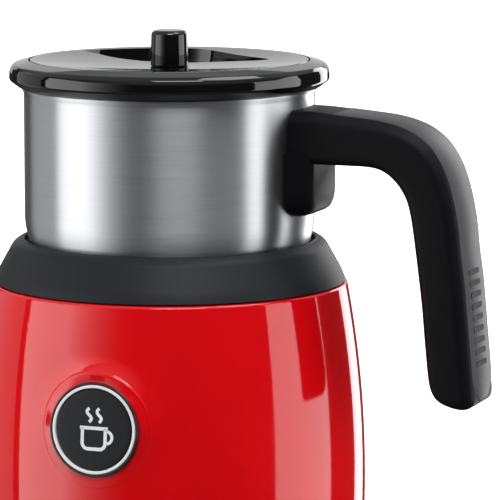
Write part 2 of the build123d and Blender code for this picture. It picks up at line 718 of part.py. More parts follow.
def make_handle_body(solid, zone):
    """Moulded handle, cut to the jug's wall, the bracket, the screws and the strip."""
    body = solid - zone - disc(JUG_R + 0.1, 100, 190) - bracket_solid(0.2)
    for x in (70.0, 80.0):
        body -= disc(3.0, 140, 149.5, x, 0) + disc(1.6, 149, 159.5, x, 0)
    return body


def make_handle_screws():
    """Two screws up through the arm into the bracket's tongue."""
    screws = []
    for x in (70.0, 80.0):
        screws.append(disc(2.8, 147.6, 149.5, x, 0) + disc(1.5, 149.5, 159.0, x, 0))
    return Compound(children=screws)


# ---------------------------------------------------------------- lid
def panel_top(radius):
    """Height of the dished panel's top at a radius."""
    return PANEL_CENTRE_Z + (LID_TOP_Z - 0.1 - PANEL_CENTRE_Z) * (radius / PANEL_R) ** 2


def make_lid_shell():
    """Outer ring of the lid with the plug skirt that carries the seal."""
    skirt_r = PLUG_R - 1.9
    shape = Polyline((skirt_r, PLUG_BOTTOM_Z), (PLUG_R, PLUG_BOTTOM_Z), (PLUG_R, 166.0),
                     (PLUG_R - 0.9, 166.0), (PLUG_R - 0.9, 169.5), (PLUG_R, 169.5),
                     (PLUG_R, LID_UNDERSIDE_Z), (57.9, LID_UNDERSIDE_Z), (61.2, 175.0))
    shape += ThreePointArc((61.2, 175.0), (LID_R - 0.12, 175.45), (LID_R, 176.0))
    shape += Polyline((LID_R, 176.0), (61.5, 178.4), (61.0, 180.2))
    shape += ThreePointArc((61.0, 180.2), (60.7, 180.9), (60.0, 181.3))
    shape += Polyline((60.0, 181.3), (PANEL_R + 0.5, LID_TOP_Z), (PANEL_R + 0.5, 179.6), (LEDGE_R, 179.6),
                      (LEDGE_R, 177.6), (skirt_r, 177.6), (skirt_r, PLUG_BOTTOM_Z))
    return turned(shape)


def grown(points, wall):
    """Outline points moved away from their middle by a wall's thickness."""
    middle_x = sum(p[0] for p in points) / len(points)
    middle_y = sum(p[1] for p in points) / len(points)
    moved = []
    for x, y in points:
        reach = math.hypot(x - middle_x, y - middle_y)
        moved.append((x + wall * (x - middle_x) / reach, y + wall * (y - middle_y) / reach))
    return moved


def scoop_volume(wall, low, high):
    """Crescent pocket behind the knob, grown by a wall's thickness."""
    outline = grown(SCOOP_REAR + SCOOP_FRONT[1:-1], wall)
    rear = outline[:len(SCOOP_REAR)]
    front = [rear[-1]] + outline[len(SCOOP_REAR):] + [rear[0]]
    face = make_face(Spline(*rear) + Spline(*front))
    return Pos(0, 0, low) * extrude(face, amount=high - low)


def make_lid_top_panel():
    """Dished round panel with the crescent pocket and the knob's hole."""
    top = ThreePointArc(*[(r, panel_top(r)) for r in (0, PANEL_R / 2, PANEL_R)])
    rest = Polyline((PANEL_R, panel_top(PANEL_R)), (PANEL_R, 179.6), (LEDGE_R - 0.2, 179.6),
                    (LEDGE_R - 0.2, 177.6), (0, 177.6), (0, panel_top(0)))
    panel = turned(top + rest)
    panel += scoop_volume(SCOOP_WALL, SCOOP_FLOOR_Z - SCOOP_WALL, 178.5) & disc(LEDGE_R - 0.2, 160, 190)
    panel -= scoop_volume(0.0, SCOOP_FLOOR_Z, 190.0)
    return panel - disc(4.05, 179.0, 190) - disc(1.6, 170, 190)


def make_lid_inner_cover():
    """Flat cover that closes the lid from below, facing the milk."""
    return disc(PLUG_R - 2.0, PLUG_BOTTOM_Z + 0.4, PLUG_BOTTOM_Z + 2.2)


def make_lid_seal():
    """Silicone ring in the plug's groove."""
    body = tube(PLUG_R + 0.2, PLUG_R - 0.9, 166.1, 169.4)
    for z in (166.9, 168.6):
        body += tube(PLUG_R + 0.6, PLUG_R - 0.5, z - 0.3, z + 0.3)
    return body


def make_lid_knob():
    """Small tapered knob with a rounded top and a spigot into the panel."""
    shape = Polyline((SHAFT_R, 179.0), (4.0, 179.0), (4.0, 180.25), (KNOB_R - 0.5, 180.25))
    shape += ThreePointArc((KNOB_R - 0.5, 180.25), (KNOB_R - 0.12, 180.45), (KNOB_R, 180.9))
    shape += Line((KNOB_R, 180.9), (7.0, 192.0))
    shape += ThreePointArc((7.0, 192.0), (6.41, 193.41), (5.0, KNOB_TOP_Z))
    shape += Polyline((5.0, KNOB_TOP_Z), (0, KNOB_TOP_Z), (0, 189.5), (SHAFT_R, 189.5), (SHAFT_R, 179.0))
    return turned(shape)


def make_knob_screw():
    """Screw from under the panel up into the knob."""
    return disc(3.0, 175.6, 177.6) + disc(SHAFT_R - 0.05, 177.6, 189.0)


# ---------------------------------------------------------------- whisk
def make_whisk_bush():
    """Slippery sleeve with a closed top that sits on the spindle inside the whisk."""
    return disc(BUSH_R, 97.6, 104.6) - disc(SPINDLE_R + RUNNING_GAP, 97.0, 103.8)


def make_whisk_hub():
    """Whisk body with magnet pockets, the bush's bore and a groove for the spring ring."""
    hub = disc(WHISK_HUB_R, 97.9, 105.6)
    hub -= Pos(0, 0, WHISK_COIL_Z) * Torus(WHISK_COIL_R, WHISK_COIL_TUBE_R + 0.05)
    hub -= disc(BUSH_R + RUNNING_GAP, 97.0, 104.8)
    for x in (-MAGNET_OFFSET, MAGNET_OFFSET):
        hub -= disc(MAGNET_R + 0.05, 98.6, 107.0, x, 0)
    return hub


def make_whisk_magnets():
    """Two disc magnets inside the whisk."""
    pair = [disc(MAGNET_R, 98.6, 98.6 + MAGNET_THICK, x, 0) for x in (-MAGNET_OFFSET, MAGNET_OFFSET)]
    return Compound(children=pair)


def make_whisk_cap():
    """Lid of the whisk with a thin stem and a ball to lift it by."""
    cap = disc(WHISK_HUB_R - 0.8, 105.6, 107.0) + Pos(0, 0, 108.5) * Cone(4.0, 1.8, 3.0)
    return cap + disc(1.8, 107.0, 123.0) + Pos(0, 0, 124.0) * Sphere(4.0)


def make_whisk_coil():
    """Ring-shaped spring that beats the milk, as the solid it fills."""
    return Pos(0, 0, WHISK_COIL_Z) * Torus(WHISK_COIL_R, WHISK_COIL_TUBE_R)


# ---------------------------------------------------------------- write the nodes
def build_nodes():
    """All nodes by name."""
    solid = handle_solid()
    zone = strip_zone()
    plain = [
        make_base_housing, make_collar_ring, make_bottom_plate, make_foot_ring, make_bottom_screws,
        make_cord_gland, make_well_tray, make_hot_plate, make_coil_carrier, make_induction_coil,
        make_ferrite_bars, make_carrier_screws, make_motor_bracket, make_motor_can, make_motor_screws,
        make_rotor_shaft, make_rotor_carrier, make_rotor_magnets, make_main_pcb, make_pcb_screws,
        make_heat_sink, make_power_transistors, make_capacitors, make_filter_choke,
        make_terminal_block, make_fan_frame, make_fan_blades, make_button_bezel, make_light_ring,
        make_button_cap, make_switch_plunger, make_tact_switch, make_button_pcb, make_status_leds,
        make_sensor_tip, make_sensor_spring, make_jug_shell, make_jug_base_disc, make_spindle_pin,
        make_handle_bracket, make_handle_screws, make_lid_shell, make_lid_top_panel,
        make_lid_inner_cover, make_lid_seal, make_lid_knob, make_knob_screw, make_whisk_bush,
        make_whisk_hub, make_whisk_magnets, make_whisk_cap, make_whisk_coil,
    ]
    nodes = {maker.__name__.replace("make_", ""): maker() for maker in plain}
    nodes["handle_body"] = make_handle_body(solid, zone)
    nodes["handle_back_strip"] = solid & zone
    return nodes


os.makedirs("parts", exist_ok=True)
for node, shape in build_nodes().items():
    export_step(shape, f"parts/{node}.step")
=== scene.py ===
import json
import math

import bmesh
import bpy
import numpy as np
from mathutils import Matrix, Vector

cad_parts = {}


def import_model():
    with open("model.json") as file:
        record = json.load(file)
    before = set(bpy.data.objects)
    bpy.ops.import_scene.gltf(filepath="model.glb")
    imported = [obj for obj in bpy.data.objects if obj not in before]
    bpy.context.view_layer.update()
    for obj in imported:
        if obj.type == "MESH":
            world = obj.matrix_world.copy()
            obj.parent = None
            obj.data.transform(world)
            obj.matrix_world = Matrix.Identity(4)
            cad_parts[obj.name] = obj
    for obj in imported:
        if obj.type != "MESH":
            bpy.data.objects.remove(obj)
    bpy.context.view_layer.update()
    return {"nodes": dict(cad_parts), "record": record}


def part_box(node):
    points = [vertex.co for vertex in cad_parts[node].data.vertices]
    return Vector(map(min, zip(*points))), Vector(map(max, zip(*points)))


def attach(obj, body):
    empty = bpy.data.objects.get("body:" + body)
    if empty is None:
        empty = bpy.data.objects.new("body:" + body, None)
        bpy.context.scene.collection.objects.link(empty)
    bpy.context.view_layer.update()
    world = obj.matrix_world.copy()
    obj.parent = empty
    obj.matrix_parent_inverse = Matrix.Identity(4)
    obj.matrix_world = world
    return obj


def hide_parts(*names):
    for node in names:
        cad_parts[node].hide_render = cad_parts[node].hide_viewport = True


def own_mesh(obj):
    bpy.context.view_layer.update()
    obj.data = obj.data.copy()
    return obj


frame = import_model()

MM = 0.001


def box_mm(node):
    """Lowest and highest corner of a CAD node, in millimetres."""
    low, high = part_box(node)
    return [v / MM for v in low], [v / MM for v in high]


# ---------------------------------------------------------------- sizes read from the frame
HOUSING_LOW, HOUSING_HIGH = box_mm("base_housing")
COLLAR_HIGH = box_mm("collar_ring")[1]
JUG_LOW, JUG_HIGH = box_mm("jug_shell")
LID_HIGH = box_mm("lid_shell")[1]
PANEL_HIGH = box_mm("lid_top_panel")[1]
KNOB_HIGH = box_mm("lid_knob")[1]
FOOT_LOW, FOOT_HIGH = box_mm("foot_ring")
COIL_LOW, COIL_HIGH = box_mm("whisk_coil")
GLAND_LOW, GLAND_HIGH = box_mm("cord_gland")

BARREL_R = HOUSING_HIGH[0]
BARREL_WIDEST_Z = 20.0
BARREL_SIDE_RADIUS = 410.0
HOUSING_BOTTOM = HOUSING_LOW[2]
HOUSING_TOP = HOUSING_HIGH[2]
HOUSING_WALL = 2.5
JUG_R = JUG_HIGH[1] - 1.0
JUG_TOP = JUG_HIGH[2]
JUG_BOTTOM = JUG_LOW[2]
JUG_WALL = 1.0
JUG_CORNER = 28.0
SPOUT_REACH = -JUG_LOW[0]
SPOUT_START = 160.0
COLLAR_BOTTOM = 97.7
COLLAR_TOP = COLLAR_HIGH[2]
LID_R = LID_HIGH[0]

# The button stands on the leaning front wall.
BUTTON_LEAN = math.radians(4.4)
BUTTON_POINT = np.array([0.0, -75.0, 51.4])
BUTTON_NORMAL = np.array([0.0, -math.cos(BUTTON_LEAN), math.sin(BUTTON_LEAN)])
BUTTON_UP = np.array([0.0, math.sin(BUTTON_LEAN), math.cos(BUTTON_LEAN)])
BOSS_R = 22.0
BOSS_FACE = 0.5
BOSS_EDGE = 1.2
BOSS_FLARE = 7.5
BOSS_HIGH = 2.0
BOSS_LOW = 0.15
BOSS_PEAK = math.radians(72)
BEZEL_R = 17.7
BUTTON_R = 15.3
GLAND_SIDE = 6.1
GLAND_Z = (GLAND_LOW[2] + GLAND_HIGH[2]) / 2


# ---------------------------------------------------------------- material helpers
class Nodes:
    """Short calls for building one node material."""

    def __init__(self, name):
        self.material = bpy.data.materials.new(name)
        self.material.use_nodes = True
        self.tree = self.material.node_tree
        self.shader = self.tree.nodes["Principled BSDF"]

    def new(self, kind, **settings):
        node = self.tree.nodes.new(kind)
        for key, value in settings.items():
            setattr(node, key, value)
        return node

    def link(self, source, target):
        self.tree.links.new(source, target)

    def value(self, socket, number):
        self.shader.inputs[socket].default_value = number

    def coords(self, scale):
        """Object coordinates in metres, stretched by a scale per axis."""
        place = self.new("ShaderNodeTexCoord")
        stretch = self.new("ShaderNodeMapping")
        stretch.inputs["Scale"].default_value = scale
        self.link(place.outputs["Object"], stretch.inputs["Vector"])
        return stretch.outputs["Vector"]

    def noise(self, scale, detail=3.0, stretch=(1, 1, 1), roughness=0.5):
        """Noise over object coordinates; scale is in features per metre."""
        node = self.new("ShaderNodeTexNoise")
        node.inputs["Scale"].default_value = scale
        node.inputs["Detail"].default_value = detail
        node.inputs["Roughness"].default_value = roughness
        self.link(self.coords(stretch), node.inputs["Vector"])
        return node.outputs["Fac"]

    def spread(self, source, low, high, dark=0.0, light=1.0):
        """Map a 0 to 1 value between two source limits to a range."""
        node = self.new("ShaderNodeMapRange")
        node.inputs["From Min"].default_value = low
        node.inputs["From Max"].default_value = high
        node.inputs["To Min"].default_value = dark
        node.inputs["To Max"].default_value = light
        self.link(source, node.inputs["Value"])
        return node.outputs["Result"]

    def blend(self, factor, first, second):
        """Colour between two colours by a factor."""
        node = self.new("ShaderNodeMix", data_type="RGBA")
        node.inputs["A"].default_value = (*first, 1)
        node.inputs["B"].default_value = (*second, 1)
        self.link(factor, node.inputs["Factor"])
        return node.outputs["Result"]

    def bump(self, height, strength, distance):
        node = self.new("ShaderNodeBump")
        node.inputs["Strength"].default_value = strength
        node.inputs["Distance"].default_value = distance
        self.link(height, node.inputs["Height"])
        return node


def moulded(name, colour, roughness, grain=2600.0, grain_depth=0.00004, spread=0.25, coat=0.0,
            shine=0.5):
    """Moulded plastic or rubber: fine spark texture, uneven tone and uneven gloss."""
    m = Nodes(name)
    tone = m.noise(28.0, 4.0)
    lighter = tuple(min(1.0, c * (1 + spread) + 0.001) for c in colour)
    m.link(m.blend(m.spread(tone, 0.3, 0.7), colour, lighter), m.shader.inputs["Base Color"])
    fine = m.noise(grain, 2.0)
    m.link(m.spread(fine, 0.25, 0.75, roughness - 0.06, roughness + 0.06), m.shader.inputs["Roughness"])
    m.link(m.bump(fine, 0.6, grain_depth).outputs["Normal"], m.shader.inputs["Normal"])
    m.value("Specular IOR Level", shine)
    if coat:
        m.value("Coat Weight", coat)
        m.value("Coat Roughness", 0.03)
    return m.material


def glossy(name, colour, roughness, dust=0.04, ripple=0.000004):
    """Polished plastic: nearly smooth, with faint ripple, handling haze and fine dust."""
    m = Nodes(name)
    haze = m.noise(14.0, 5.0, roughness=0.6)
    darker = tuple(c * 0.9 for c in colour)
    m.link(m.blend(m.spread(haze, 0.35, 0.65), darker, colour), m.shader.inputs["Base Color"])
    m.link(m.spread(haze, 0.4, 0.8, roughness, roughness + dust), m.shader.inputs["Roughness"])
    wave = m.noise(55.0, 1.0)
    m.link(m.bump(wave, 0.25, ripple).outputs["Normal"], m.shader.inputs["Normal"])
    return m.material


def metal(name, colour, roughness, grain=(1, 1, 1), scale=900.0, depth=0.00001, vary=0.06):
    """Plain metal with drawn or ground grain."""
    m = Nodes(name)
    m.value("Metallic", 1.0)
    fine = m.noise(scale, 3.0, stretch=grain)
    lighter = tuple(min(1.0, c * 1.12) for c in colour)
    m.link(m.blend(m.spread(fine, 0.3, 0.7), colour, lighter), m.shader.inputs["Base Color"])
    m.link(m.spread(fine, 0.3, 0.7, roughness - vary, roughness + vary), m.shader.inputs["Roughness"])
    m.link(m.bump(fine, 0.4, depth).outputs["Normal"], m.shader.inputs["Normal"])
    return m.material


def brushed_steel():
    """Steel brushed round the axis: fine scratches round the wall, stretched reflections."""
    m = Nodes("brushed_steel")
    m.value("Metallic", 1.0)
    m.value("Anisotropic", 0.9)
    m.value("Anisotropic Rotation", 0.25)
    turn = m.new("ShaderNodeTangent", direction_type="RADIAL", axis="Z")
    m.link(turn.outputs["Tangent"], m.shader.inputs["Tangent"])
    long_lines = m.noise(1.0, 4.0, stretch=(45, 45, 3600), roughness=0.6)
    m.link(m.blend(m.spread(long_lines, 0.35, 0.65), (0.49, 0.50, 0.52), (0.55, 0.555, 0.565)),
           m.shader.inputs["Base Color"])
    m.link(m.spread(long_lines, 0.3, 0.7, 0.36, 0.42), m.shader.inputs["Roughness"])
    m.link(m.bump(long_lines, 0.5, 0.000007).outputs["Normal"], m.shader.inputs["Normal"])
    return m.material


def diffuser(name):
    """Milky light guide that glows faintly."""
    m = Nodes(name)
    cloud = m.noise(120.0, 3.0)
    m.link(m.blend(m.spread(cloud, 0.3, 0.7), (0.80, 0.80, 0.82), (0.92, 0.92, 0.93)),
           m.shader.inputs["Base Color"])
    m.link(m.spread(cloud, 0.3, 0.7, 0.28, 0.36), m.shader.inputs["Roughness"])
    m.link(m.bump(cloud, 0.2, 0.00001).outputs["Normal"], m.shader.inputs["Normal"])
    m.value("Subsurface Weight", 0.15)
    m.value("Subsurface Radius", (0.002, 0.002, 0.002))
    return m.material


MATERIALS = {
    "housing_gloss": glossy("housing_gloss", (0.76, 0.003, 0.006), 0.05, dust=0.05),
    "collar_soft": moulded("collar_soft", (0.010, 0.011, 0.014), 0.5, grain=1900,
                           grain_depth=0.00005, shine=0.2),
    "plate_black": moulded("plate_black", (0.018, 0.018, 0.018), 0.5),
    "foot_rubber": moulded("foot_rubber", (0.02, 0.02, 0.02), 0.75, grain=1500),
    "screw_steel": metal("screw_steel", (0.55, 0.55, 0.56), 0.3, scale=700),
    "gland_rubber": moulded("gland_rubber", (0.018, 0.018, 0.018), 0.65, grain=1800),
    "well_plastic": moulded("well_plastic", (0.03, 0.03, 0.032), 0.4),
    "hot_plate_ceramic": glossy("hot_plate_ceramic", (0.05, 0.05, 0.05), 0.2),
    "carrier_plastic": moulded("carrier_plastic", (0.55, 0.52, 0.44), 0.5, spread=0.1),
    "coil_wire": metal("coil_wire", (0.62, 0.22, 0.07), 0.25, scale=1500),
    "ferrite": moulded("ferrite", (0.05, 0.05, 0.055), 0.6, grain=3000),
    "bracket_steel": metal("bracket_steel", (0.5, 0.5, 0.51), 0.35, grain=(1, 8, 1)),
    "motor_steel": metal("motor_steel", (0.52, 0.52, 0.54), 0.28, grain=(1, 1, 6)),
    "board_green": moulded("board_green", (0.015, 0.13, 0.045), 0.3, grain=1200, coat=0.4),
    "sink_aluminium": metal("sink_aluminium", (0.72, 0.72, 0.74), 0.38, grain=(4, 4, 1)),
    "chip_black": moulded("chip_black", (0.015, 0.015, 0.016), 0.45),
    "capacitor_sleeve": glossy("capacitor_sleeve", (0.0, 0.03, 0.09), 0.2),
    "terminal_plastic": glossy("terminal_plastic", (0.03, 0.25, 0.09), 0.3),
    "fan_plastic": moulded("fan_plastic", (0.018, 0.018, 0.018), 0.42),
    "bezel_dark": glossy("bezel_dark", (0.012, 0.014, 0.014), 0.18),
    "ring_white": diffuser("ring_white"),
    "button_face": moulded("button_face", (0.006, 0.007, 0.008), 0.34, grain=3200,
                           grain_depth=0.00001, shine=0.3),
    "lamp_clear": glossy("lamp_clear", (0.8, 0.8, 0.75), 0.1),
    "sensor_metal": metal("sensor_metal", (0.6, 0.6, 0.6), 0.22),
    "spring_steel": metal("spring_steel", (0.66, 0.66, 0.66), 0.16, scale=2500),
    "jug_steel": brushed_steel(),
    "base_disc_steel": metal("base_disc_steel", (0.5, 0.5, 0.5), 0.3),
    "handle_soft": moulded("handle_soft", (0.0025, 0.0025, 0.0035), 0.5, grain=1700,
                           grain_depth=0.00009, shine=0.14),
    "strip_soft": moulded("strip_soft", (0.028, 0.028, 0.031), 0.48, grain=1500,
                          grain_depth=0.00006, shine=0.3),
    "lid_gloss": glossy("lid_gloss", (0.0035, 0.0035, 0.0037), 0.04),
    "seal_silicone": moulded("seal_silicone", (0.06, 0.06, 0.062), 0.55),
    "bush_white": moulded("bush_white", (0.8, 0.8, 0.78), 0.4, spread=0.05),
    "whisk_plastic": moulded("whisk_plastic", (0.02, 0.02, 0.021), 0.35),
    "magnet_nickel": metal("magnet_nickel", (0.62, 0.6, 0.56), 0.15),
    "shaft_steel": metal("shaft_steel", (0.6, 0.6, 0.6), 0.2, grain=(1, 1, 5)),
}


def paint(piece, slot):
    """Give a piece the one material of its slot."""
    piece.data.materials.clear()
    piece.data.materials.append(MATERIALS[slot])


def paint_cad_nodes():
    """Every CAD node takes the material of its record slot."""
    for part in frame["record"]["subparts"]:
        paint(frame["nodes"][part["node"]], part["material_slot"])


# ---------------------------------------------------------------- mesh helpers
def add_mesh(name, points_mm, faces, body, slot, replaces=(), smooth_deg=35.0):
    """New piece from points in millimetres; it rides on a body and has a material slot."""
    mesh = bpy.data.meshes.new(name)
    mesh.from_pydata([tuple(np.asarray(p) * MM) for p in points_mm], [], faces)
    mesh.validate()
    piece = bpy.data.objects.new(name, mesh)
    bpy.context.scene.collection.objects.link(piece)
    finish_mesh(piece, smooth_deg)
    paint(piece, slot)
    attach(piece, body)
    if replaces:
        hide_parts(*replaces)
    return piece


def finish_mesh(piece, smooth_deg):
    """Weld doubles, point faces outwards and smooth all but the sharp edges."""
    work = bmesh.new()
    work.from_mesh(piece.data)
    bmesh.ops.remove_doubles(work, verts=work.verts, dist=0.000005)
    bmesh.ops.recalc_face_normals(work, faces=work.faces)
    work.to_mesh(piece.data)
    work.free()
    piece.data.shade_smooth()
    piece.data.set_sharp_from_angle(angle=math.radians(smooth_deg))


def rounded(corners, steps=6):
    """Section (radius, height) with rounded corners; each corner is (r, z, rounding)."""
    out = []
    for i, (x, y, size) in enumerate(corners):
        here = np.array([x, y])
        if size <= 0:
            out.append(here)
            continue
        before = np.array(corners[i - 1][:2])
        after = np.array(corners[(i + 1) % len(corners)][:2])
        towards_before = (before - here) / np.linalg.norm(before - here)
        towards_after = (after - here) / np.linalg.norm(after - here)
        start = here + towards_before * size
        end = here + towards_after * size
        for k in range(steps + 1):
            t = k / steps
            out.append((1 - t) ** 2 * start + 2 * t * (1 - t) * here + t ** 2 * end)
    return out


def lathe(name, section, body, slot, replaces=(), turns=256, smooth_deg=35.0, place=None, warp=None):
    """Closed section of (radius, height) turned about Z; place moves points, warp bends them."""
    points = []
    count = len(section)
    for i in range(turns):
        a = 2 * math.pi * i / turns
        for r, z in section:
            points.append((r * math.cos(a), r * math.sin(a), z))
    points = np.array(points)
    if warp:
        points = warp(points)
    if place:
        points = place(points)
    faces = []
    for i in range(turns):
        for k in range(count):
            a, b = i * count + k, i * count + (k + 1) % count
            c, d = ((i + 1) % turns) * count + (k + 1) % count, ((i + 1) % turns) * count + k
            faces.append((a, b, c, d))
    return add_mesh(name, points, faces, body, slot, replaces, smooth_deg)


def arc_points(centre, radius, start_deg, end_deg, steps):
    """Points of an arc in the section plane."""
    angles = np.radians(np.linspace(start_deg, end_deg, steps + 1))
    return [np.array([centre[0] + radius * math.cos(a), centre[1] + radius * math.sin(a)]) for a in angles]


def barrel_radius(z, inset=0.0):
    side = BARREL_SIDE_RADIUS - inset
    return BARREL_R - inset - side + np.sqrt(side ** 2 - (z - BARREL_WIDEST_Z) ** 2)


def on_button(points):
    """Move points drawn about +Z, with 0 at the wall, onto the leaning front wall."""
    turn = np.array(Matrix.Rotation(math.pi / 2 - BUTTON_LEAN, 3, "X"))
    return np.asarray(points) @ turn.T + BUTTON_POINT


# ---------------------------------------------------------------- base housing
def wall_depth(across, up):
    """Distance of the barrel's wall in front of the button's plane, for points in that plane."""
    depth = np.zeros_like(across)
    for _ in range(6):
        level = BUTTON_POINT[2] + up * BUTTON_UP[2] + depth * BUTTON_NORMAL[2]
        reach = np.sqrt(barrel_radius(level) ** 2 - across ** 2)
        depth = (BUTTON_POINT[1] + up * BUTTON_UP[1] + reach) / math.cos(BUTTON_LEAN)
    return depth


def boss_rings(border):
    """Rings of points from the boss's middle out to a border of points on the barrel.

    The boss stands proud of the wall at its upper right and runs out into it at its lower left.
    """
    offset = border - BUTTON_POINT
    across, up = offset[:, 0], offset @ BUTTON_UP
    reach = np.hypot(across, up)
    side, rise = across / reach, up / reach
    lean = 0.5 * (1 + side * math.cos(BOSS_PEAK) + rise * math.sin(BOSS_PEAK))
    lift = BOSS_LOW + (BOSS_HIGH - BOSS_LOW) * lean ** 1.3
    edge = np.minimum(BOSS_EDGE, 0.8 * lift)
    clearance = 0.3
    inner_r = BEZEL_R + clearance
    inner_depth = wall_depth(inner_r * side, inner_r * rise) + lift + 0.7 * side ** 2
    inner_depth = np.minimum(BOSS_FACE, inner_depth)
    outer_depth = wall_depth(BOSS_R * side, BOSS_R * rise) + lift
    rings = []

    def add_ring(radius, depth):
        rings.append(BUTTON_POINT + np.outer(radius * side, [1.0, 0.0, 0.0])
                     + np.outer(radius * rise, BUTTON_UP) + np.outer(depth, BUTTON_NORMAL))

    for radius in (6.0, 12.0):
        add_ring(radius, inner_depth)
    for share in np.linspace(0, 1, 8):
        add_ring(inner_r + (BOSS_R - edge - inner_r) * share,
                 inner_depth + (outer_depth - inner_depth) * share)
    for a in np.linspace(0, math.pi / 3, 5)[1:]:
        add_ring(BOSS_R - edge * (1 - math.sin(a)), outer_depth - edge * (1 - math.cos(a)))
    edge_r = BOSS_R - edge * (1 - math.sin(math.pi / 3))
    for share in np.linspace(0, 1, 23)[1:]:
        radius = edge_r + BOSS_FLARE * share
        add_ring(radius, wall_depth(radius * side, radius * rise) + (lift - edge / 2) * (1 - share) ** 2)
    last = edge_r + BOSS_FLARE
    for share in (0.25, 0.5, 0.75):
        radius = last + (reach - last) * share
        add_ring(radius, wall_depth(radius * side, radius * rise))
    return rings


def housing_skin():
    """Outer wall with the button's boss blended in, closed by the inner wall."""
    lip = 1.3
    heel = 2.5
    patch = 36.0
    half_turn = 29.0
    fine_z = np.linspace(BUTTON_POINT[2] - patch, BUTTON_POINT[2] + patch, 91)
    low_z = np.linspace(HOUSING_BOTTOM + heel, fine_z[0], 10)[:-1]
    high_z = np.linspace(fine_z[-1], HOUSING_TOP - lip, 12)[1:]
    heights = np.concatenate([low_z, fine_z, high_z])
    front = np.radians(np.linspace(-half_turn, half_turn, 91) - 90)
    rest = np.radians(np.linspace(half_turn, 360 - half_turn, 303)[1:-1] - 90)
    angles = np.concatenate([front, rest])
    top_r = barrel_radius(HOUSING_TOP - lip)
    heel_r = barrel_radius(HOUSING_BOTTOM + heel)
    lip_arc = arc_points((top_r - lip, HOUSING_TOP - lip), lip, 0, 90, 6)[1:]
    heel_arc = arc_points((heel_r - heel + 0.1, HOUSING_BOTTOM + heel), heel - 0.1, -90, 0, 6)[:-1]
    inner = [(barrel_radius(z, HOUSING_WALL), z) for z in np.linspace(HOUSING_TOP, HOUSING_BOTTOM, 8)]
    section = heel_arc + [np.array([barrel_radius(z), z]) for z in heights] + lip_arc
    section += [np.array(p) for p in inner]
    count, total = len(section), len(angles)
    points = [(r * math.cos(a), r * math.sin(a), z) for a in angles for r, z in section]
    first_row = len(heel_arc) + len(low_z)
    last_row = first_row + len(fine_z) - 1
    last_column = len(front) - 1
    faces = []
    for i in range(total):
        for k in range(count):
            if i < last_column and first_row <= k < last_row:
                continue
            j, m = (i + 1) % total, (k + 1) % count
            faces.append((i * count + k, j * count + k, j * count + m, i * count + m))
    border = [i * count + first_row for i in range(last_column)]
    border += [last_column * count + k for k in range(first_row, last_row)]
    border += [i * count + last_row for i in range(last_column, 0, -1)]
    border += [k for k in range(last_row, first_row, -1)]
    rings = boss_rings(np.array([points[i] for i in border]))
    around = len(border)
    rows = []
    for ring in rings:
        rows.append([len(points) + i for i in range(around)])
        points.extend(tuple(p) for p in ring)
    rows.append(border)
    middle = len(points)
    points.append(tuple(BUTTON_POINT + BOSS_FACE * BUTTON_NORMAL))
    for i in range(around):
        j = (i + 1) % around
        faces.append((middle, rows[0][i], rows[0][j]))
        for near, far in zip(rows, rows[1:]):
            faces.append((near[i], far[i], far[j], near[j]))
    skin = add_mesh("housing_skin", points, faces, "base", "housing_gloss", ("base_housing",), 40.0)
    bore_r = BEZEL_R + 0.05
    bore = [(0.0, -20.0), (bore_r, -20.0), (bore_r, 5.0), (0.0, 5.0)]
    cutter = lathe("button_bore", bore, "base", "housing_gloss", turns=192, place=on_button)
    join_by_boolean(skin, cutter, "DIFFERENCE")
    corner = 2.1
    outline = rounded([(-GLAND_SIDE, -GLAND_SIDE, corner), (GLAND_SIDE, -GLAND_SIDE, corner),
                       (GLAND_SIDE, GLAND_SIDE, corner), (-GLAND_SIDE, GLAND_SIDE, corner)])
    inside_wall, outside_wall = 62.0, 90.0
    rings = [[(x, y, z + GLAND_Z) for x, z in outline] for y in (inside_wall, outside_wall)]
    cutter = add_mesh("gland_opening", *loft_rings(rings), "base", "housing_gloss")
    join_by_boolean(skin, cutter, "DIFFERENCE")
    finish_mesh(skin, 40.0)


def collar():
    """Sloping collar with a soft shoulder, a fine step and a lip round the jug."""
    section = rounded([
        (56.2, 111.5, 0), (57.8, 111.5, 0), (60.0, 107.5, 0), (63.6, 100.5, 0), (63.6, 93.0, 0),
        (65.9, 93.0, 0), (65.9, COLLAR_BOTTOM, 0), (68.1, COLLAR_BOTTOM, 0.35),
        (66.6, 101.3, 1.2), (64.7, 104.8, 1.2), (62.2, 109.3, 1.0), (60.75, 112.0, 1.3),
        (58.2, 113.75, 0.9), (57.35, 113.75, 0.12), (57.3, COLLAR_TOP, 0.12), (56.2, COLLAR_TOP, 0.4),
    ])
    lathe("collar_skin", section, "base", "collar_soft", ("collar_ring",), smooth_deg=30)


def foot():
    """Rubber ring with soft edges and a shallow grip groove underneath."""
    low, high = FOOT_LOW[2], FOOT_HIGH[2]
    outer, inner = FOOT_HIGH[0], 66.05
    middle = (outer + inner) / 2
    section = rounded([
        (inner, high, 0), (inner, low, 0.6), (middle - 1.0, low, 0.2), (middle - 0.7, low + 0.6, 0.2),
        (middle + 0.7, low + 0.6, 0.2), (middle + 1.0, low, 0.2), (outer, low, 0.6), (outer, high, 0),
    ])
    lathe("foot_ring_skin", section, "base", "foot_rubber", ("foot_ring",), turns=180)


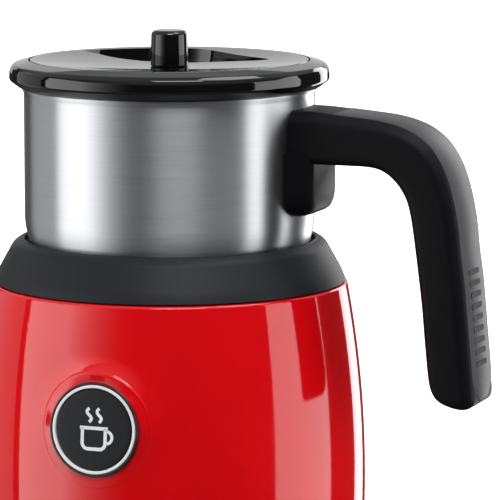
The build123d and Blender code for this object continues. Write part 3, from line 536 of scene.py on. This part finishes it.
# ---------------------------------------------------------------- front button
def button_pieces():
    """Bezel, light ring and push button with soft edges, and a plain cup pictogram."""
    bezel = rounded([
        (BEZEL_R, -9.0, 0), (BEZEL_R, 0.8, 0.3), (16.7, 0.8, 0.2), (16.7, -7.5, 0), (12.0, -7.5, 0),
        (12.0, -9.0, 0),
    ])
    lathe("bezel_ring", bezel, "base", "bezel_dark", ("button_bezel",), 192, place=on_button)
    ring = rounded([(16.65, -7.5, 0), (16.65, 0.9, 0.3), (15.5, 0.9, 0.3), (15.5, -7.5, 0)])
    lathe("light_ring_skin", ring, "base", "ring_white", ("light_ring",), 192, place=on_button)
    dome = [np.array([r, 0.3 + 0.2 * (1 - (r / BUTTON_R) ** 2)]) for r in np.linspace(0.0, 14.6, 12)]
    edge = arc_points((BUTTON_R - 0.6, -0.3), 0.6, 80, 0, 5)
    skirt = [(BUTTON_R, -5.6), (13.6, -5.6), (13.6, -3.0), (2.0, -3.0), (2.0, -8.0), (0.0, -8.0)]
    cap = dome + edge + [np.array(p) for p in skirt]
    lathe("button_cap_skin", cap, "button", "button_face", ("button_cap",), 192, place=on_button)
    pictogram()


def ribbon(path, width, height):
    """Flat strip along a path in the button's plane: points and faces of a thin raised band."""
    path = [np.array(p, float) for p in path]
    points, faces = [], []
    total = len(path)
    for i, p in enumerate(path):
        before, after = path[max(i - 1, 0)], path[min(i + 1, total - 1)]
        along = (after - before) / np.linalg.norm(after - before)
        side = np.array([-along[1], along[0]]) * width / 2
        for q, z in ((p + side, 0.0), (p + side, height), (p - side, height), (p - side, 0.0)):
            points.append((q[0], q[1], z))
    for i in range(total - 1):
        a, b = i * 4, (i + 1) * 4
        for k in range(4):
            faces.append((a + k, b + k, b + (k + 1) % 4, a + (k + 1) % 4))
    faces.append((0, 1, 2, 3))
    end = (total - 1) * 4
    faces.append((end, end + 3, end + 2, end + 1))
    return points, faces


def pictogram():
    """A plain mug with two curls of steam, printed white on the button."""
    stroke = 1.3
    thin_stroke = stroke * 0.9
    height = 0.12
    half_w, top, bottom = 4.6, 0.6, -7.2
    corner = 2.2
    mug = [(-half_w, top), (-half_w, bottom + corner)]
    mug += [tuple(p) for p in arc_points((-half_w + corner, bottom + corner), corner, 180, 270, 6)]
    mug += [tuple(p) for p in arc_points((half_w - corner, bottom + corner), corner, 270, 360, 6)]
    mug += [(half_w, top)]
    grip = [tuple(p) for p in arc_points((half_w + 0.4, -2.6), 2.3, 80, -80, 14)]
    brim = [(-half_w - 1.0, top), (half_w + 1.0, top)]
    shapes = [ribbon(mug, stroke, height), ribbon(brim, stroke, height), ribbon(grip, thin_stroke, height)]
    for x in (-2.0, 2.0):
        curl = [(x + 0.9 * math.sin(t * 2 * math.pi), 2.8 + 5.2 * t) for t in np.linspace(0, 1, 18)]
        shapes.append(ribbon(curl, thin_stroke, height))
    face_height = 0.42
    points, faces = [], []
    for shape_points, shape_faces in shapes:
        start = len(points)
        points += [(x, y, z + face_height) for x, y, z in shape_points]
        faces += [tuple(start + i for i in f) for f in shape_faces]
    add_mesh("button_pictogram", on_button(points), faces, "button", "ring_white", smooth_deg=20)


# ---------------------------------------------------------------- jug
def spout_warp(points):
    """Push the wall out into a pointed lip at -X near the rim."""
    out = points.copy()
    rise = np.clip((points[:, 2] - SPOUT_START) / (JUG_TOP - SPOUT_START), 0, 1)
    angle = np.arctan2(points[:, 1], -points[:, 0])
    radius = np.hypot(points[:, 0], points[:, 1])
    reach = (SPOUT_REACH - JUG_R) * (0.08 + 0.92 * rise) * np.clip(rise * 9, 0, 1)
    half = (3.0 + 10.0 * rise) / JUG_R
    away = np.sqrt(np.abs(angle) ** 2 + 0.022 ** 2) - 0.022
    share = np.clip(1 - away / half, 0, 1)
    share = share ** 1.15 * (1 - 0.25 * share * (1 - share))
    grow = np.where(radius > JUG_R - 8, reach * share, 0)
    out[:, 0] += grow * points[:, 0] / np.maximum(radius, 1e-6)
    out[:, 1] += grow * points[:, 1] / np.maximum(radius, 1e-6)
    return out


def jug():
    """Steel jug: straight wall, large corner, rolled bead at the rim and a pouring lip."""
    centre = (JUG_R - JUG_CORNER, JUG_BOTTOM + JUG_CORNER)
    inner_corner = JUG_CORNER - JUG_WALL
    inside_floor = JUG_BOTTOM + 1.8
    recess_r = 26.5
    recess_top = JUG_BOTTOM + 0.8
    bead_r = 0.8
    bead_bottom = JUG_TOP - 2.1
    start = -math.degrees(math.asin((centre[1] - inside_floor) / inner_corner))
    bead = arc_points((JUG_R - 0.2, JUG_TOP - bead_r), bead_r, 0, 180, 12)
    section = [np.array([recess_r, recess_top]), np.array([recess_r, JUG_BOTTOM])]
    section += arc_points(centre, JUG_CORNER, -90, 0, 24)
    section += [np.array([JUG_R, z]) for z in np.linspace(130, 158, 6)]
    section += [np.array([JUG_R, z]) for z in np.linspace(159, bead_bottom, 12)]
    section += bead
    section += [np.array([JUG_R - JUG_WALL, z]) for z in np.linspace(bead_bottom, 159, 12)]
    section += [np.array([JUG_R - JUG_WALL, z]) for z in np.linspace(158, 130, 6)]
    section += arc_points(centre, inner_corner, 0, start, 20)
    section += [np.array([0.0, inside_floor]), np.array([0.0, recess_top])]
    lathe("jug_skin", section, "jug", "jug_steel", ("jug_shell",), 720, 50.0, warp=spout_warp)


# ---------------------------------------------------------------- handle
def curve_point(points, t):
    """Point on a Catmull-Rom curve through points, t from 0 to 1."""
    spans = len(points) - 1
    i = min(int(t * spans), spans - 1)
    u = t * spans - i
    p = [np.array(points[max(0, min(spans, i + k))], float) for k in (-1, 0, 1, 2)]
    return 0.5 * ((2 * p[1]) + (-p[0] + p[2]) * u + (2 * p[0] - 5 * p[1] + 4 * p[2] - p[3]) * u ** 2
                  + (-p[0] + 3 * p[1] - 3 * p[2] + p[3]) * u ** 3)


# Side view of the handle: matching points on the palm side and on the finger side.
HANDLE_OUTER = [(50.0, 166.2), (61.6, 166.0), (70.9, 165.3), (80.2, 164.5), (89.0, 163.6), (96.5, 162.0),
                (103.2, 159.3), (109.2, 154.8), (113.6, 148.9), (116.8, 141.9), (119.2, 133.4),
                (120.9, 124.0), (121.9, 114.5), (123.4, 104.0), (124.4, 94.0), (125.3, 84.0),
                (126.2, 74.5), (126.9, 66.5)]
HANDLE_INNER = [(50.0, 146.0), (61.0, 146.0), (70.0, 146.0), (78.0, 146.0), (84.5, 145.9), (89.2, 145.2),
                (93.0, 143.4), (96.2, 140.6), (98.6, 137.5), (100.5, 133.9), (101.9, 128.9),
                (103.1, 122.0), (104.3, 113.5), (105.6, 103.5), (106.8, 93.5), (107.7, 83.5),
                (108.6, 74.2), (109.4, 67.0)]
# Rounded lower end: height, finger side, palm side and half width.
HANDLE_END = [(64.0, 110.0, 127.1, 15.0), (61.6, 110.9, 127.3, 15.0), (59.6, 112.3, 127.3, 15.0),
              (58.0, 114.4, 127.0, 14.8), (56.9, 117.0, 126.2, 14.3), (56.2, 119.8, 125.0, 13.4),
              (55.8, 121.6, 123.6, 12.2)]
STRIP_PATH = HANDLE_OUTER[2:] + [(127.3, 61.0), (127.3, 57.6)]
HANDLE_HALF = 15.0


def handle_section(inner, outer, half=HANDLE_HALF):
    """Ring of points round one station: rounded at the fingers, softly chamfered at the palm."""
    along = np.array(outer) - np.array(inner)
    thick = np.linalg.norm(along)
    along /= thick
    fit = min(1.0, thick / 10)
    finger_round, palm_round = 3.6 * fit, 1.7 * fit
    chamfer_deep, chamfer_wide = 3.6 * fit, 2.7 * fit
    corners = [(0.0, -half, finger_round), (0.0, half, finger_round),
               (thick - chamfer_deep, half, palm_round), (thick, half - chamfer_wide, palm_round),
               (thick, -half + chamfer_wide, palm_round), (thick - chamfer_deep, -half, palm_round)]
    points = []
    for u, v in rounded(corners, 5):
        spot = np.array(inner) + along * u
        points.append((spot[0], v, spot[1]))
    return points


def loft_rings(rings, cap_start=True, cap_end=True):
    """Points and faces of a skin through equal rings, with flat ends."""
    points = [p for ring in rings for p in ring]
    count = len(rings[0])
    faces = []
    for i in range(len(rings) - 1):
        for k in range(count):
            a, b = i * count + k, i * count + (k + 1) % count
            faces.append((a, b, b + count, a + count))
    if cap_start:
        faces.append(tuple(range(count)))
    if cap_end:
        last = (len(rings) - 1) * count
        faces.append(tuple(last + k for k in reversed(range(count))))
    return points, faces


def handle():
    """Arm and grip as one skin with a rounded lower end, joined to the mounting pad."""
    rings = []
    for t in np.linspace(0, 1, 90):
        rings.append(handle_section(curve_point(HANDLE_INNER, t), curve_point(HANDLE_OUTER, t)))
    for t in np.linspace(0, 1, 22):
        level, inner, outer, half = curve_point(HANDLE_END, t)
        rings.append(handle_section((inner, level), (outer, level), half))
    points, faces = loft_rings(rings)
    body = add_mesh("handle_skin", points, faces, "jug", "handle_soft", ("handle_body",), 40.0)
    pad = add_mesh("pad_form", *pad_form(), "jug", "handle_soft", smooth_deg=40.0)
    join_by_boolean(body, pad, "UNION")
    cut_r = JUG_R + 0.05
    barrel = [(0.0, 100.0), (cut_r, 100.0), (cut_r, 190.0), (0.0, 190.0)]
    cut_jug = lathe("jug_cut", barrel, "jug", "handle_soft")
    join_by_boolean(body, cut_jug, "DIFFERENCE")
    finish_mesh(body, 35.0)


def pad_form():
    """Rounded pad between the arm and the jug, a little wider where it meets the wall."""
    top = 150.0
    rings = []
    for x, half, low, rounding in ((48.0, 17.5, 125.5, 9.0), (57.0, 17.4, 125.6, 9.0),
                                   (59.0, 16.9, 125.9, 8.8), (60.8, 16.1, 126.4, 8.4),
                                   (62.2, 15.0, 127.3, 7.8), (63.1, 13.5, 128.7, 7.0),
                                   (63.5, 11.8, 130.5, 6.0)):
        outline = rounded([(-half, top, 0), (-half, low, rounding), (half, low, rounding),
                           (half, top, 0)], 10)
        rings.append([(x, y, z) for y, z in outline])
    return loft_rings(rings)


def join_by_boolean(target, other, operation):
    """Apply a boolean of one piece on another and drop the second."""
    change = target.modifiers.new("join", "BOOLEAN")
    change.operation = operation
    change.solver = "EXACT"
    change.object = other
    depsgraph = bpy.context.evaluated_depsgraph_get()
    mesh = bpy.data.meshes.new_from_object(target.evaluated_get(depsgraph))
    target.modifiers.clear()
    target.data = mesh
    bpy.data.objects.remove(other)


def strip_frame(t):
    """Point on the palm side's middle line and the direction pointing out of the handle."""
    here = curve_point(STRIP_PATH, t)
    along = curve_point(STRIP_PATH, min(1, t + 0.004)) - curve_point(STRIP_PATH, max(0, t - 0.004))
    along /= np.linalg.norm(along)
    return here, np.array([-along[1], along[0]])


def back_strip():
    """Flat inlaid strip over the arm and down the palm side, with a rounded lower end."""
    half = 12.0
    lift = 0.12
    depth = 1.2
    shoulder = 0.2
    end = len(STRIP_PATH) - 1
    rings = []
    for t in np.concatenate([np.linspace(0, 15 / end, 80), np.linspace(15 / end, 1, 40)[1:]]):
        here, out = strip_frame(t)
        from_end = max(0.0, here[1] - STRIP_PATH[-1][1]) if t > 0.5 else half
        width = half
        if from_end < half:
            width = max(0.4, math.sqrt(half ** 2 - (half - from_end) ** 2))
        base = here - out * depth
        top = here + out * lift
        soft = min(0.5, width * 0.4)
        edge = top - out * shoulder
        ring = [(base, -width), (edge, -width), (top, -width + soft), (top, width - soft), (edge, width),
                (base, width)]
        rings.append([(p[0], y, p[1]) for p, y in ring])
    points, faces = loft_rings(rings)
    add_mesh("back_strip_skin", points, faces, "jug", "strip_soft", ("handle_back_strip",), 40.0)
    grip_marks()


def grip_marks():
    """Row of short dark ribs let into the strip low on the palm side."""
    highest, pitch = 106.8, 4.31
    half_long, half_thick, rounding, height = 6.0, 1.0, 0.95, 0.3
    corners = rounded([(-half_long, -half_thick, rounding), (half_long, -half_thick, rounding),
                       (half_long, half_thick, rounding), (-half_long, half_thick, rounding)], 5)
    stations = np.linspace(0.4, 1, 400)
    levels = np.array([curve_point(STRIP_PATH, t)[1] for t in stations])
    for number in range(9):
        t = stations[np.argmin(np.abs(levels - (highest - pitch * number)))]
        here, out = strip_frame(t)
        along = np.array([out[1], -out[0]])
        rings = []
        for lift in (0.0, height):
            ring = []
            for y, v in corners:
                spot = here + along * v + out * lift
                ring.append((spot[0], y, spot[1]))
            rings.append(ring)
        points, faces = loft_rings(rings)
        add_mesh(f"grip_rib_{number + 1}", points, faces, "jug", "handle_soft", smooth_deg=40.0)


# ---------------------------------------------------------------- lid
def lid():
    """Outer ring with its plug, dished panel with a crescent recess, the knob and the seal."""
    top = PANEL_HIGH[2]
    panel_r = 53.7
    dish_low = 180.1
    ledge = 179.6
    knob_foot = 179.0
    ring = rounded([
        (52.9, 164.0, 0.3), (54.8, 164.0, 0.3), (54.8, 166.0, 0), (53.9, 166.0, 0), (53.9, 169.5, 0),
        (54.8, 169.5, 0), (54.8, 172.6, 0.2), (57.9, 172.6, 0.5), (LID_R, 175.4, 0.9),
        (61.55, 178.6, 0.5), (61.05, 180.2, 0.35), (60.0, 181.4, 0.45), (54.2, 182.9, 0.3),
        (54.2, ledge, 0), (51.65, ledge, 0), (51.65, 177.6, 0), (52.9, 177.6, 0),
    ])
    lathe("lid_ring", ring, "lid", "lid_gloss", ("lid_shell",), 360, 30.0)
    dish = [np.array([r, dish_low + (top - dish_low) * (r / panel_r) ** 2])
            for r in np.linspace(0.0, 53.2, 26)]
    rim = [np.array([53.55, top - 0.08]), np.array([panel_r, top - 0.35])]
    under = [np.array(p) for p in ((panel_r, ledge), (51.4, ledge), (51.4, 172.2), (0.0, 172.2))]
    panel = lathe("lid_panel", dish + rim + under, "lid", "lid_gloss", ("lid_top_panel",), 360, 30.0)
    recess = add_mesh("recess_cut", *recess_form(), "lid", "lid_gloss")
    join_by_boolean(panel, recess, "DIFFERENCE")
    finish_mesh(panel, 30.0)
    soften = panel.modifiers.new("soften", "BEVEL")
    soften.width = 0.00045
    soften.segments = 3
    soften.limit_method = "ANGLE"
    soften.angle_limit = math.radians(35)
    soften.harden_normals = True
    stem = rounded([
        (4.0, knob_foot, 0), (4.0, 180.25, 0), (7.25, 180.25, 0.6), (7.0, 192.6, 0),
    ])[:-1]
    dome = arc_points((5.0, 192.0), 2.0, 10, 90, 8)
    top_face = [np.array([r, KNOB_HIGH[2] - 0.0006 * r ** 3]) for r in np.linspace(4.6, 0, 6)]
    knob = stem + dome + top_face + [np.array([0.0, knob_foot])]
    lathe("knob_skin", knob, "lid", "lid_gloss", ("lid_knob",), 128, 40.0)
    seal = rounded([
        (53.95, 166.1, 0), (54.9, 166.1, 0.1), (55.0, 166.5, 0.1), (55.4, 166.9, 0.15), (55.0, 167.4, 0.1),
        (55.0, 168.1, 0.1), (55.4, 168.6, 0.15), (55.0, 169.0, 0.1), (54.9, 169.4, 0.1), (53.95, 169.4, 0),
    ])
    lathe("seal_skin", seal, "lid", "seal_silicone", ("lid_seal",), 256, 40.0)


# Outline of the finger recess behind the knob, from its right tip round the rear.
RECESS = [(31.5, 24.5), (24.0, 30.5), (14.0, 37.0), (4.0, 43.5), (-6.0, 48.0), (-16.0, 46.8), (-26.0, 42.6),
          (-36.0, 35.0), (-42.5, 27.5), (-44.5, 22.5), (-38.0, 19.5), (-29.4, 14.8), (-20.0, 12.2),
          (-11.0, 11.4), (3.4, 13.8), (12.0, 17.4), (21.0, 20.2), (28.0, 21.2)]


def recess_form():
    """Cutter for the recess: a crescent whose walls lean out towards the top."""
    closed = RECESS[-1:] + RECESS + RECESS[:2]
    spans = len(closed) - 1
    outline = [curve_point(closed, t) for t in np.linspace(1 / spans, 1 - 1 / spans, 145)[:-1]]
    middle = np.mean(outline, axis=0)
    rings = []
    for z, grow in ((173.6, -1.6), (174.6, -0.9), (179.0, -0.2), (184.0, 0.5), (190.0, 1.2)):
        ring = []
        for p in outline:
            out = (p - middle) / np.linalg.norm(p - middle)
            q = p + out * grow
            ring.append((q[0], q[1], z))
        rings.append(ring)
    return loft_rings(rings)


# ---------------------------------------------------------------- whisk
def whisk_spring():
    """Fine wire coiled into a ring round the whisk."""
    ring_r = (COIL_HIGH[0] - COIL_LOW[0] + COIL_LOW[2] - COIL_HIGH[2]) / 2
    tube_r = (COIL_HIGH[2] - COIL_LOW[2]) / 2 - 0.35
    level = (COIL_HIGH[2] + COIL_LOW[2]) / 2
    coils, per_coil, wire = 46, 14, 0.32
    total = coils * per_coil
    centre = []
    for i in range(total):
        a = 2 * math.pi * i / total
        b = coils * a
        reach = ring_r + tube_r * math.cos(b)
        centre.append(np.array([reach * math.cos(a), reach * math.sin(a), level + tube_r * math.sin(b)]))
    rings = []
    for i, p in enumerate(centre):
        along = centre[(i + 1) % total] - centre[i - 1]
        along /= np.linalg.norm(along)
        a = 2 * math.pi * i / total
        spine = np.array([ring_r * math.cos(a), ring_r * math.sin(a), level])
        out = (p - spine) / np.linalg.norm(p - spine)
        side = np.cross(along, out)
        turn = [2 * math.pi * k / 8 for k in range(8)]
        rings.append([p + wire * (math.cos(k) * out + math.sin(k) * side) for k in turn])
    points, faces = loft_rings(rings + [rings[0]], False, False)
    add_mesh("whisk_spring", points, faces, "whisk", "spring_steel", ("whisk_coil",), 60.0)


def sensor_coil():
    """Compression spring under the temperature sensor's tip."""
    low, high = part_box("sensor_spring")
    low, high = np.array(low) / MM, np.array(high) / MM
    middle = (low + high) / 2
    upward = np.array([0.0, 0.0, 1.0])
    wire = 0.17
    clearance = 0.02
    reach = (high[0] - low[0]) / 2 - wire - clearance
    turns, per_turn = 3.5, 24
    count = int(turns * per_turn)
    rings = []
    for i in range(count + 1):
        a = 2 * math.pi * i / per_turn
        spot = np.array([middle[0] + reach * math.cos(a), middle[1] + reach * math.sin(a),
                         low[2] + wire + (high[2] - low[2] - 2 * wire) * i / count])
        out = np.array([math.cos(a), math.sin(a), 0.0])
        turn = [2 * math.pi * k / 8 for k in range(8)]
        rings.append([spot + wire * (math.cos(k) * out + math.sin(k) * upward) for k in turn])
    points, faces = loft_rings(rings)
    coil = add_mesh("sensor_coil", points, faces, "base", "spring_steel", ("sensor_spring",), 60.0)
    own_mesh(coil)


# ---------------------------------------------------------------- stage, lights and camera
CAMERA_TURN = math.radians(20.85)
CAMERA_LIFT = math.radians(8.31)
CAMERA_AWAY = 1.400
LENS_MM = 260.0
AIM_RIGHT = 0.031
AIM_UP = 0.1085

CAMERA_RIGHT = Vector((math.cos(CAMERA_TURN), math.sin(CAMERA_TURN), 0))
TOWARDS_CAMERA = Vector((math.sin(CAMERA_TURN), -math.cos(CAMERA_TURN), 0))


def camera():
    """Long lens, slightly above, from the right of the front."""
    aim = CAMERA_RIGHT * AIM_RIGHT + Vector((0, 0, AIM_UP))
    back = TOWARDS_CAMERA * math.cos(CAMERA_LIFT) + Vector((0, 0, math.sin(CAMERA_LIFT)))
    data = bpy.data.cameras.new("camera")
    data.lens = LENS_MM
    data.sensor_width = 36.0
    data.clip_start = 0.05
    data.clip_end = 30.0
    eye = bpy.data.objects.new("camera", data)
    bpy.context.scene.collection.objects.link(eye)
    eye.location = aim + back * CAMERA_AWAY
    eye.rotation_mode = "QUATERNION"
    eye.rotation_quaternion = (-back).to_track_quat("-Z", "Y")
    bpy.context.scene.camera = eye


def softbox(name, turn_deg, lift, away, width, height, power, fade_from=None):
    """Area light at an angle to the right of the camera; its light may fade across its width."""
    turn = math.radians(turn_deg)
    level = TOWARDS_CAMERA * math.cos(turn) + CAMERA_RIGHT * math.sin(turn)
    data = bpy.data.lights.new(name, "AREA")
    data.shape = "RECTANGLE"
    data.size = width
    data.size_y = height
    data.energy = power
    if fade_from is not None:
        fade_across(data, fade_from)
    lamp = bpy.data.objects.new(name, data)
    bpy.context.scene.collection.objects.link(lamp)
    target = Vector((0, 0, 0.11))
    place = target + level * away * math.cos(math.radians(lift))
    place.z += away * math.sin(math.radians(lift))
    lamp.location = place
    lamp.rotation_mode = "QUATERNION"
    lamp.rotation_quaternion = (target - place).to_track_quat("-Z", "Y")
    lamp.visible_camera = False


def fade_across(light, start):
    """Let an area light grow dimmer from a share of its width to its far edge."""
    light.use_nodes = True
    nodes, links = light.node_tree.nodes, light.node_tree.links
    place = nodes.new("ShaderNodeNewGeometry")
    split = nodes.new("ShaderNodeSeparateXYZ")
    ramp = nodes.new("ShaderNodeMapRange")
    ramp.inputs["From Min"].default_value = start
    ramp.inputs["From Max"].default_value = 1.0
    ramp.inputs["To Min"].default_value = 1.0
    ramp.inputs["To Max"].default_value = 0.0
    links.new(place.outputs["Parametric"], split.inputs["Vector"])
    links.new(split.outputs["X"], ramp.inputs["Value"])
    fall = nodes.new("ShaderNodeMath")
    fall.operation = "POWER"
    fall.inputs[1].default_value = 3.0
    links.new(ramp.outputs["Result"], fall.inputs[0])
    links.new(fall.outputs["Value"], nodes["Emission"].inputs["Strength"])


def lights():
    """Large box on the left, narrower ones on the right, soft overhead and back boxes."""
    softbox("left_box", -57, 0, 1.1, 1.78, 1.0, 16.5, fade_from=0.43)
    softbox("left_rear_box", -119, 0, 1.1, 0.72, 1.2, 1.4)
    softbox("right_box", 85, 0, 1.3, 1.04, 1.0, 10)
    softbox("right_rear_box", 147, 0, 1.4, 0.45, 1.3, 7)
    softbox("front_box", 8.5, 50, 1.5, 0.76, 0.5, 10)
    softbox("top_box", 75, 62, 1.2, 0.6, 0.5, 5)
    softbox("rear_box", 180, 13, 2.2, 2.2, 1.1, 5.5)


def world():
    """White backdrop whose reflection is dark level with the object, bright above and dim below."""
    made = bpy.data.worlds.new("surround")
    made.use_nodes = True
    nodes, links = made.node_tree.nodes, made.node_tree.links
    place = nodes.new("ShaderNodeTexCoord")
    split = nodes.new("ShaderNodeSeparateXYZ")
    ramp = nodes.new("ShaderNodeValToRGB")
    links.new(place.outputs["Generated"], split.inputs["Vector"])
    shift = nodes.new("ShaderNodeMapRange")
    shift.inputs["From Min"].default_value = -1.0
    links.new(split.outputs["Z"], shift.inputs["Value"])
    links.new(shift.outputs["Result"], ramp.inputs["Fac"])
    stops = ramp.color_ramp.elements
    stops[0].position, stops[0].color = 0.2, (0.17, 0.17, 0.18, 1)
    stops[1].position, stops[1].color = 0.8, (0.60, 0.61, 0.63, 1)
    for position, grey in ((0.38, 0.04), (0.62, 0.04)):
        stop = stops.new(position)
        stop.color = (grey, grey, grey, 1)
    seen = nodes.new("ShaderNodeLightPath")
    pick = nodes.new("ShaderNodeMix")
    pick.data_type = "RGBA"
    links.new(seen.outputs["Is Camera Ray"], pick.inputs["Factor"])
    links.new(ramp.outputs["Color"], pick.inputs["A"])
    pick.inputs["B"].default_value = (1, 1, 1, 1)
    links.new(pick.outputs["Result"], nodes["Background"].inputs["Color"])
    bpy.context.scene.world = made


def floor():
    """Plain white floor that the base stands on, clear when seen from below."""
    size = 12.0
    mesh = bpy.data.meshes.new("floor")
    corners = [(-size, -size, 0), (size, -size, 0), (size, size, 0), (-size, size, 0)]
    mesh.from_pydata(corners, [], [(0, 1, 2, 3)])
    plane = bpy.data.objects.new("floor", mesh)
    bpy.context.scene.collection.objects.link(plane)
    m = Nodes("floor_white")
    cloud = m.noise(3.0, 2.0)
    m.link(m.blend(cloud, (0.86, 0.86, 0.86), (0.9, 0.9, 0.9)), m.shader.inputs["Base Color"])
    m.value("Roughness", 0.9)
    m.shader.inputs["Emission Color"].default_value = (1, 1, 1, 1)
    m.value("Emission Strength", 0.9)
    below = m.new("ShaderNodeNewGeometry")
    m.link(m.spread(below.outputs["Backfacing"], 0.0, 1.0, 1.0, 0.0), m.shader.inputs["Alpha"])
    mesh.materials.append(m.material)
    plane.visible_glossy = False
    plane.visible_diffuse = False
    plane.visible_shadow = False


paint_cad_nodes()
housing_skin()
collar()
foot()
button_pieces()
jug()
handle()
back_strip()
lid()
whisk_spring()
sensor_coil()
camera()
lights()
world()
floor()
bpy.context.scene.view_settings.view_transform = "Standard"
